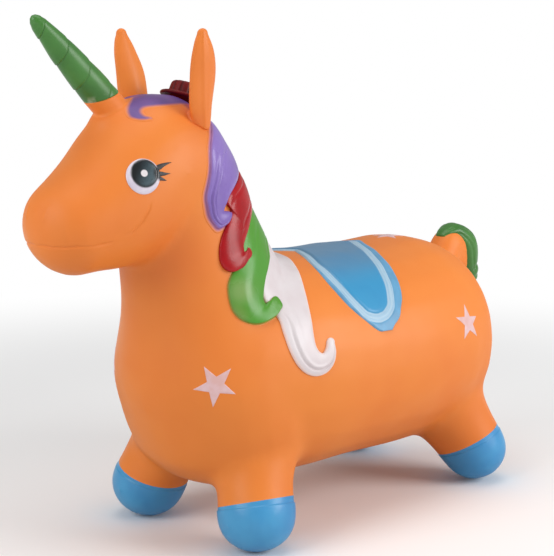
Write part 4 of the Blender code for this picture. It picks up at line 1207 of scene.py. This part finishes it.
SEAT_RISE = 0.0030
MARGIN_RISE = 0.0017
PAD_SHOULDER = 0.0040
SEAT_SOFTNESS = 0.0016
STRIPE_WIDTH = 0.0085
SEAM_DEPTH = 0.0006
SEAM_WIDTH = 0.0009
SEAM_PLACE = 0.0006
OUTER_SEAM = 0.8            # depth of the seam outside the stripe, as a share of the other's
OUTLINE_STEPS = 60
OUTLINE_OVERHANG = 0.02     # how far past the top line the outline goes when it is closed
PAD_STEPS = 150
PAD_ACROSS = 110
TRUNK_MIDDLE = 0.151
TRUNK_RADIUS = 0.112


def unrolled(points):
    """The left side of the trunk's skin laid flat: place along it, and way round it from the top."""
    points = np.asarray(points)
    return np.stack([points[:, 0], np.arctan2(np.abs(points[:, 1]), points[:, 2] - TRUNK_MIDDLE) * TRUNK_RADIUS],
                    axis=1)


def seat_outline():
    """The seat's edge on the unrolled skin, from the top of the front edge round the tip to the rear."""
    rows = resampled(metres(SEAT_EDGES), OUTLINE_STEPS)
    return np.vstack([unrolled(rows[:, :3]), unrolled(rows[::-1, 3:])])


SEAT_OUTLINE = seat_outline()


def seat_gap(points):
    """Distance outside the seat's edge along the skin, negative on the seat."""
    flat = unrolled(points)
    distance, _, _ = path_distance(SEAT_OUTLINE, flat)
    outline = np.vstack([SEAT_OUTLINE, SEAT_OUTLINE[[-1, 0]] - (0, OUTLINE_OVERHANG)])
    inside = np.zeros(len(flat), bool)
    for near, far in zip(outline, np.roll(outline, -1, axis=0)):
        crosses = (near[1] > flat[:, 1]) != (far[1] > flat[:, 1])
        reach = near[0] + (flat[:, 1] - near[1]) * (far[0] - near[0]) / (far[1] - near[1] + 1e-12)
        inside ^= crosses & (flat[:, 0] < reach)
    return np.where(inside, -distance, distance)


def pad_height(along, share, width):
    edge = np.minimum(share, 1 - share) * width
    return MARGIN_RISE * (1 - (2 - 2 * smoothstep(-PAD_SHOULDER, PAD_SHOULDER, edge)) ** 2)


def seat_relief(points):
    """The seat stands over its margin, with a seam line round it."""
    gap = seat_gap(points)
    lift = (SEAT_RISE - MARGIN_RISE) * smoothstep(SEAT_SOFTNESS, -SEAT_SOFTNESS * 2, gap)
    lift -= SEAM_DEPTH * groove(gap, SEAM_PLACE, SEAM_WIDTH)
    return lift - SEAM_DEPTH * OUTER_SEAM * groove(gap, STRIPE_WIDTH, SEAM_WIDTH)


def pad_colour(tree):
    """Blue seat, duller on top, then the brushed pale stripe and the blotchy blue margin."""
    gap = attribute_socket(tree, "seat_gap")
    height = add_node(tree, "ShaderNodeSeparateXYZ", {0: place_socket(tree)}).outputs[2]
    seat = mixed(tree, ranged(tree, height, 0.232, 0.258), SEAT_BLUE, SEAT_BLUE_DULL)
    seat = mixed(tree, blotches(tree, 30.0, 0.35, 0.8, 0.35, 3.0), seat, SEAT_BLUE_DEEP)
    streak_place = add_node(tree, "ShaderNodeCombineXYZ", {
        0: multiplied(tree, gap, 520.0), 1: multiplied(tree, attribute_socket(tree, "along"), 5.0)})
    streaks = add_node(tree, "ShaderNodeTexNoise", {
        "Vector": streak_place.outputs[0], "Scale": 1.0, "Detail": 3.0, "Roughness": 0.6}).outputs["Fac"]
    stripe = mixed(tree, ranged(tree, streaks, 0.40, 0.72, 0.0, 0.55), STRIPE_WHITE, MARGIN_BLUE)
    margin = mixed(tree, blotches(tree, 70.0, 0.35, 0.7, 0.5), MARGIN_BLUE, SEAT_BLUE_DULL)
    colour = mixed(tree, ranged(tree, gap, STRIPE_WIDTH - 0.0004, STRIPE_WIDTH + 0.0005), stripe, margin)
    return mixed(tree, ranged(tree, gap, -0.0006, 0.0005), seat, colour)


rings, facts = raised_rings(metres(PAD_EDGES), pad_height, PAD_STEPS, PAD_ACROSS, extra=seat_relief)
facts["seat_gap"] = [seat_gap(ring) for ring in rings]
pad_paint = new_material("pad_paint", "hoof_blue", pad_colour, 0.36)
add_piece(loft_mesh("saddle_pad", rings, **facts), pad_paint, "saddle", "saddle_stripe")


# ---------------------------------------------------------------- tail tuft

TUFT_AROUND = 96
TUFT_STEPS = 26
TUFT_CAP_RINGS = (0.12, 0.25, 0.4, 0.55, 0.7, 0.82, 0.91, 0.97, 0.995)
TUFT_LINES = (0.35, 1.05, 1.75, 2.45, 3.30)         # where round the curl they lie, in radians
TUFT_LINE_WIDTH = 0.11
TUFT_LINE_DEPTH = 0.045     # of the curl's thickness
TUFT_LINE_SPAN = (0.12, 0.85, 0.10)
TUFT_TIP = [(-0.10, 0.815, 0.022), (0.10, 0.885, 0.035)]        # change of thickness, place along, half width


def tuft_rings():
    """Curl of the tail, combed lengthwise, with a small turned-up tip."""
    rings = limb_rings(TUFT_SHARES, (TUFT_RADIUS, TUFT_RADIUS), ACROSS, TUFT_CAP_SHARES, 1.0, TUFT_AROUND,
                       TUFT_STEPS, TUFT_CAP_RINGS)
    combed = sum(groove(full_turn(TUFT_AROUND), line, TUFT_LINE_WIDTH) for line in TUFT_LINES)
    shaped = []
    for along, ring in zip(np.linspace(0, 1, len(rings)), rings):
        centre = ring.mean(axis=0)
        scale = 1 - TUFT_LINE_DEPTH * combed * window(along, *TUFT_LINE_SPAN)
        scale = scale * (1 + sum(change * groove(along, place, width) for change, place, width in TUFT_TIP))
        shaped.append(centre + (ring - centre) * scale[:, None])
    return shaped


def tuft_colour(tree):
    colour = two_tone(HORN_GREEN, HORN_GREEN_DEEP, 30.0, 0.3, 0.8)(tree)
    # Painted highlight: pale glinting streaks on the curl near its end
    lines = blotches(tree, 150.0, 0.52, 0.68, 0.5, 3.0, 0.6, (1.0, 5.0, 1.0))
    rub_and_glint = multiplied(tree, spot(tree, (0.2760, -0.0100, 0.2480), 0.012, 0.002), lines)
    return mixed(tree, rub_and_glint, colour, TUFT_GLINT)


tuft_paint = new_material("tuft_paint", "horn_green", tuft_colour, 0.30)
add_piece(loft_mesh("tail_curl", tuft_rings()), tuft_paint, "tail_tuft")


# ---------------------------------------------------------------- hat

HAT_SHARES = (-0.2235, 0.0, 0.8450)
HAT_LEAN = math.radians(22)
HAT_RIBS = 12
RIB_POINTS = 14
RIB_GROOVE = 0.0009
RIB_LINE_WIDTH = 0.075      # in radians
BRIM_TOP = (0.0028, 0.0040)
CROWN_RADIUS = 0.0146
RIBS_MEET = 0.0060          # they fade out nearer to the crown's middle than this
HAT_SCALE = 1.11
HAT_PROFILE = [
    (0.0120, -0.0080), (0.0125, 0.0000), (0.0168, 0.0003), (0.0186, 0.0005), (0.0195, 0.0010), (0.0199, 0.0017),
    (0.0198, 0.0025), (0.0192, 0.0031), (0.0182, 0.0034), (0.0168, 0.0032), (0.0154, 0.0029), (0.0145, 0.0030),
    (0.0139, 0.0035), (0.0136, 0.0046), (0.0135, 0.0060), (0.0134, 0.0080), (0.0132, 0.0100), (0.0129, 0.0118),
    (0.0124, 0.0129), (0.0115, 0.0136), (0.0103, 0.0139), (0.0085, 0.0140), (0.0060, 0.0140), (0.0030, 0.0140),
    (0.0006, 0.0140),
]


def hat_rings():
    """Small round hat with a turned brim and a ribbed crown."""
    profile = np.vstack([HAT_PROFILE[:2], spline(HAT_PROFILE[2:], 2)])
    turn = full_turn(HAT_RIBS * RIB_POINTS)
    from_line = (turn + math.pi / HAT_RIBS) % (2 * math.pi / HAT_RIBS) - math.pi / HAT_RIBS
    lines = groove(from_line, 0.0, RIB_LINE_WIDTH)
    seat = np.array(Matrix.Translation(np.array(HAT_SHARES) * PLACE) @ Matrix.Rotation(HAT_LEAN, 4, "Y"))
    rings, grooves = [], []
    for (radius, height), (wide, high) in zip(profile, profile * HAT_SCALE):
        ribbed = lines * smoothstep(*BRIM_TOP, height) * smoothstep(0.0, RIBS_MEET, radius) * (radius < CROWN_RADIUS)
        radii = wide - RIB_GROOVE * ribbed
        ring = np.stack([np.cos(turn) * radii, np.sin(turn) * radii, 0 * turn + high], axis=1)
        rings.append(ring @ seat[:3, :3].T + seat[:3, 3])
        grooves.append(ribbed)
    return rings, {"groove": grooves}


def hat_colour(tree):
    colour = two_tone(HAT_RED, HAT_RED_DEEP, 60.0, 0.3, 0.8)(tree)
    # Painted shade: the rib grooves darkened
    return mixed(tree, multiplied(tree, attribute_socket(tree, "groove"), 0.7), colour, HAT_GROOVE_SHADE)


rings, facts = hat_rings()
hat_paint = new_material("hat_paint", "hat_red", hat_colour, 0.48, gloss=0.25)
add_piece(loft_mesh("ribbed_hat", rings, **facts), hat_paint, "hat")


# ---------------------------------------------------------------- eyes and lashes

EYE_PLACE = (-0.2250, -0.0510, 0.3510)
EYE_RADIUS = 0.0155
EYE_RISE = 0.0014
EYE_DOME_POWER = 10         # the higher, the flatter its middle
EYE_AROUND = 120
IRIS_PLACE = (-0.2240, -0.0510, 0.3533)
IRIS_RADIUS = 0.0125
IRIS_RISE = 0.0009
IRIS_SHOULDER = 0.0022
TEAL_WAY = (0.86, 0.0, -0.51)
TEAL_SPAN = (-0.0085, 0.0065)
GLINT_PLACE = (-0.2262, -0.0550, 0.3545)
GLINT_RADIUS = 0.0030
LASH_ROOT = (-0.2110, -0.0545, 0.3530)
EYE_RINGS = np.concatenate([[1, 0.996, 0.988, 0.976, 0.960], np.linspace(0.94, 0.02, 44)])
LASH_LIFT = 0.00035
LASH_SINK = 0.0004
LASH_STEPS = 24
LASH_ACROSS = 8
LASHES = [
    [(-0.2150, -0.0528, 0.3556, 0.0030), (-0.2085, -0.0535, 0.3584, 0.0023), (-0.2045, -0.0540, 0.3598, 0.0014),
     (-0.2008, -0.0545, 0.3607, 0.0008), (-0.1974, -0.0550, 0.3613, 0.0001)],
    [(-0.2150, -0.0538, 0.3528, 0.0028), (-0.2080, -0.0548, 0.3521, 0.0019), (-0.2040, -0.0555, 0.3519, 0.0011),
     (-0.1996, -0.0560, 0.3520, 0.0001)],
    [(-0.2150, -0.0543, 0.3497, 0.0026), (-0.2095, -0.0550, 0.3481, 0.0017), (-0.2068, -0.0555, 0.3472, 0.0010),
     (-0.2040, -0.0560, 0.3462, 0.0001)],
]

eye_centre, eye_outline = circle_on(EYE_PLACE, EYE_RADIUS, EYE_AROUND)
iris_centre = np.array(surface.above(IRIS_PLACE, EYE_RISE))
glint_centre = np.array(surface.above(GLINT_PLACE, EYE_RISE + IRIS_RISE))
lash_root = np.array(surface.above(LASH_ROOT, EYE_RISE))


def eye_lift(points, share):
    """Round dome, with the iris a step higher."""
    feet = np.array([surface.foot(point)[0] for point in points])
    iris_gap = np.linalg.norm(feet - np.array(surface.foot(IRIS_PLACE)[0]), axis=1)
    step = IRIS_RISE * smoothstep(IRIS_RADIUS, IRIS_RADIUS - IRIS_SHOULDER, iris_gap)
    return EYE_RISE * math.sqrt(1 - share ** EYE_DOME_POWER) + step


def eye_colour(tree):
    """White with a lilac shade, the iris dark at its rim and teal at the lower right, and a pale glint."""
    across = add_node(tree, "ShaderNodeVectorMath", {0: left_place_socket(tree), 1: tuple(iris_centre)},
                      operation="SUBTRACT").outputs[0]
    slant = add_node(tree, "ShaderNodeVectorMath", {0: across, 1: TEAL_WAY}, operation="DOT_PRODUCT")
    iris = mixed(tree, ranged(tree, slant.outputs["Value"], *TEAL_SPAN), EYE_DARK, EYE_TEAL)
    iris = mixed(tree, blotches(tree, 420.0, 0.45, 0.75, 0.35, 3.0), iris, EYE_DARK)
    rim = spot(tree, iris_centre, IRIS_RADIUS - 0.0034, IRIS_RADIUS - 0.0008, 0.75)
    iris = mixed(tree, rim, iris, EYE_DARK)
    inside = spot(tree, iris_centre, IRIS_RADIUS + 0.0006, IRIS_RADIUS - 0.0011)
    colour = mixed(tree, inside, two_tone(EYE_WHITE, EYE_WHITE_SHADE, 60.0)(tree), iris)
    colour = mixed(tree, spot(tree, lash_root, 0.0078, 0.0040), colour, EYE_DARK)
    return mixed(tree, spot(tree, glint_centre, GLINT_RADIUS + 0.0004, GLINT_RADIUS - 0.0004), colour, GLINT)


def lash_rings(rows):
    """One painted lash: its path and half width, widened along the skin."""
    rows = np.array(rows)
    ways = np.gradient(rows[:, :3], axis=0)
    sides = np.stack([-ways[:, 2], 0 * ways[:, 1], ways[:, 0]], axis=1)
    sides = sides / np.linalg.norm(sides, axis=1)[:, None] * rows[:, 3:]
    edges = np.hstack([rows[:, :3] + sides, rows[:, :3] - sides])
    return raised_rings(edges, lambda along, share, width: LASH_LIFT * swell(share, 0.5), LASH_STEPS, LASH_ACROSS,
                        sink=LASH_SINK, whole=False)[0]


rings = disc_rings(eye_centre, eye_outline, EYE_RINGS, eye_lift)
eye_print = new_material("eye_print", "eye_white", eye_colour, 0.30)
lash_print = new_material("lash_print", "eye_dark", two_tone(EYE_DARK, LASH_BROWN, 300.0), 0.45)
for hand, side in (("left", list), ("right", mirrored)):
    add_piece(loft_mesh("printed_eye_" + hand, side(rings)), eye_print, "eye_" + hand, "iris_" + hand)
    for number, rows in enumerate(LASHES, 1):
        add_piece(loft_mesh("lash_{}_{}".format(hand, number), side(lash_rings(rows))), lash_print)


# ---------------------------------------------------------------- stars

STAR_LIFT = 0.00028
STAR_SINK = 0.0004
STAR_NOTCH = 0.49           # inner corners, as a share of the way to the middle between two points
STAR_EDGE_POINTS = 7
STAR_SHOULDER = 0.03        # of its size, over which it rises at the edge
STAR_RINGS = (1.0, 0.97, 0.8, 0.6, 0.4, 0.2, 0.04)
FRONT_STAR = [(-0.167, -0.061, 0.179), (-0.149, -0.077, 0.177), (-0.148, -0.082, 0.154), (-0.163, -0.068, 0.142),
              (-0.174, -0.054, 0.158)]
REAR_STAR = [(0.151, -0.104, 0.199), (0.167, -0.107, 0.185), (0.164, -0.111, 0.165), (0.139, -0.114, 0.166),
             (0.130, -0.110, 0.189)]
TOP_STAR_PLACE = (0.1530, 0.0000, 0.2590)
TOP_STAR_RADIUS = 0.0170


def star_rings(points):
    """Thin painted star through five points on the skin."""
    points = np.array([surface.foot(point)[0] for point in points])
    centre = np.array(surface.foot(points.mean(axis=0))[0])
    outline = []
    for near, far in zip(points, np.roll(points, -1, axis=0)):
        notch = centre + ((near + far) / 2 - centre) * STAR_NOTCH
        for start, end in ((near, notch), (notch, far)):
            outline += [start + (end - start) * share for share in np.arange(STAR_EDGE_POINTS) / STAR_EDGE_POINTS]

    def star_lift(points, share):
        return np.full(len(points), STAR_LIFT * min(1.0, (1 - share) / STAR_SHOULDER))

    return disc_rings(centre, outline, STAR_RINGS, star_lift, STAR_SINK)


turn = np.radians(np.arange(5) * 72 + 180)
top_star = [(TOP_STAR_PLACE[0] + math.cos(angle) * TOP_STAR_RADIUS, math.sin(angle) * TOP_STAR_RADIUS,
             TOP_STAR_PLACE[2]) for angle in turn]
star_paint = new_material("star_paint", "lock_white", two_tone(STAR_WHITE, STAR_PINK, 90.0, 0.3, 0.7), 0.40)
for name, points, side in (("star_front_left", FRONT_STAR, list), ("star_front_right", FRONT_STAR, mirrored),
                           ("star_rear_left", REAR_STAR, list), ("star_rear_right", REAR_STAR, mirrored),
                           ("star_top", top_star, list)):
    add_piece(loft_mesh(name, side(star_rings(points))), star_paint)


# ---------------------------------------------------------------- floor, light and camera

FLOOR_RADIUS = 6.0
FLOOR_AROUND = 96
FLOOR_DROP = 0.0002
FADE_START = 0.55
FADE_END = 1.30
FLOOR_SEEN = (0.94, 0.94, 0.94, 1.0)
FLOOR_BOUNCE = (0.72, 0.72, 0.72, 1.0)
PURE_WHITE = (1.0, 1.0, 1.0, 1.0)
WORLD_STRENGTH = 0.40
LAMPS = [
    ("side_lamp_left", (0.90, -1.60, 0.85), 1.1, 23.0),
    ("side_lamp_front", (-1.60, 0.10, 1.00), 1.1, 12.0),
    ("top_lamp", (-0.10, -0.10, 2.20), 1.4, 12.5),
]
LAMP_AIM = Vector((0.0, 0.0, 0.20))

floor_form = bmesh.new()
bmesh.ops.create_circle(floor_form, cap_ends=True, segments=FLOOR_AROUND, radius=FLOOR_RADIUS)
floor = new_object("floor", mesh_from(floor_form, "floor"))
floor.location.z = -FLOOR_DROP
floor_material = bpy.data.materials.new("pale_floor")
floor_material.use_nodes = True
tree = floor_material.node_tree
tree.nodes.remove(tree.nodes["Principled BSDF"])
looked_at = add_node(tree, "ShaderNodeLightPath").outputs["Is Camera Ray"]
dull = add_node(tree, "ShaderNodeBsdfDiffuse", {"Color": mixed(tree, looked_at, FLOOR_BOUNCE, FLOOR_SEEN)})
bright = add_node(tree, "ShaderNodeEmission", {"Color": PURE_WHITE, "Strength": 1.0})
away = add_node(tree, "ShaderNodeVectorMath", {0: place_socket(tree)}, operation="LENGTH").outputs["Value"]
blend = add_node(tree, "ShaderNodeMixShader", {0: ranged(tree, away, FADE_START, FADE_END),
                                               1: dull.outputs[0], 2: bright.outputs[0]})
tree.links.new(blend.outputs[0], tree.nodes["Material Output"].inputs["Surface"])
floor.data.materials.append(floor_material)

world = bpy.data.worlds.new("studio")
bpy.context.scene.world = world
world.use_nodes = True
tree = world.node_tree
rays = add_node(tree, "ShaderNodeLightPath")
dim = tree.nodes["Background"]
dim.inputs["Color"].default_value = PURE_WHITE
dim.inputs["Strength"].default_value = WORLD_STRENGTH
white = add_node(tree, "ShaderNodeBackground", {"Color": PURE_WHITE, "Strength": 1.0})
seen = add_node(tree, "ShaderNodeMixShader", {0: rays.outputs["Is Camera Ray"], 1: dim.outputs[0],
                                              2: white.outputs[0]})
tree.links.new(seen.outputs[0], tree.nodes["World Output"].inputs["Surface"])

for name, place, size, power in LAMPS:
    lamp_data = bpy.data.lights.new(name, "AREA")
    lamp_data.size = size
    lamp_data.energy = power
    lamp = new_object(name, lamp_data)
    lamp.location = place
    lamp.rotation_euler = (LAMP_AIM - Vector(place)).to_track_quat("-Z", "Y").to_euler()

camera_data = bpy.data.cameras.new("camera")
camera_data.sensor_width = SENSOR * 1000
camera_data.lens = FOCAL_PIXELS * SENSOR * 1000 / PICTURE_PIXELS
camera = new_object("camera", camera_data)
camera.location = CAMERA_PLACE
look = Vector((math.sin(CAMERA_AZIMUTH) * math.cos(CAMERA_DROP), math.cos(CAMERA_AZIMUTH) * math.cos(CAMERA_DROP),
               -math.sin(CAMERA_DROP)))
camera.rotation_euler = look.to_track_quat("-Z", "Y").to_euler()
bpy.context.scene.camera = camera
bpy.context.scene.view_settings.view_transform = "Standard"

bpy.context.view_layer.update()
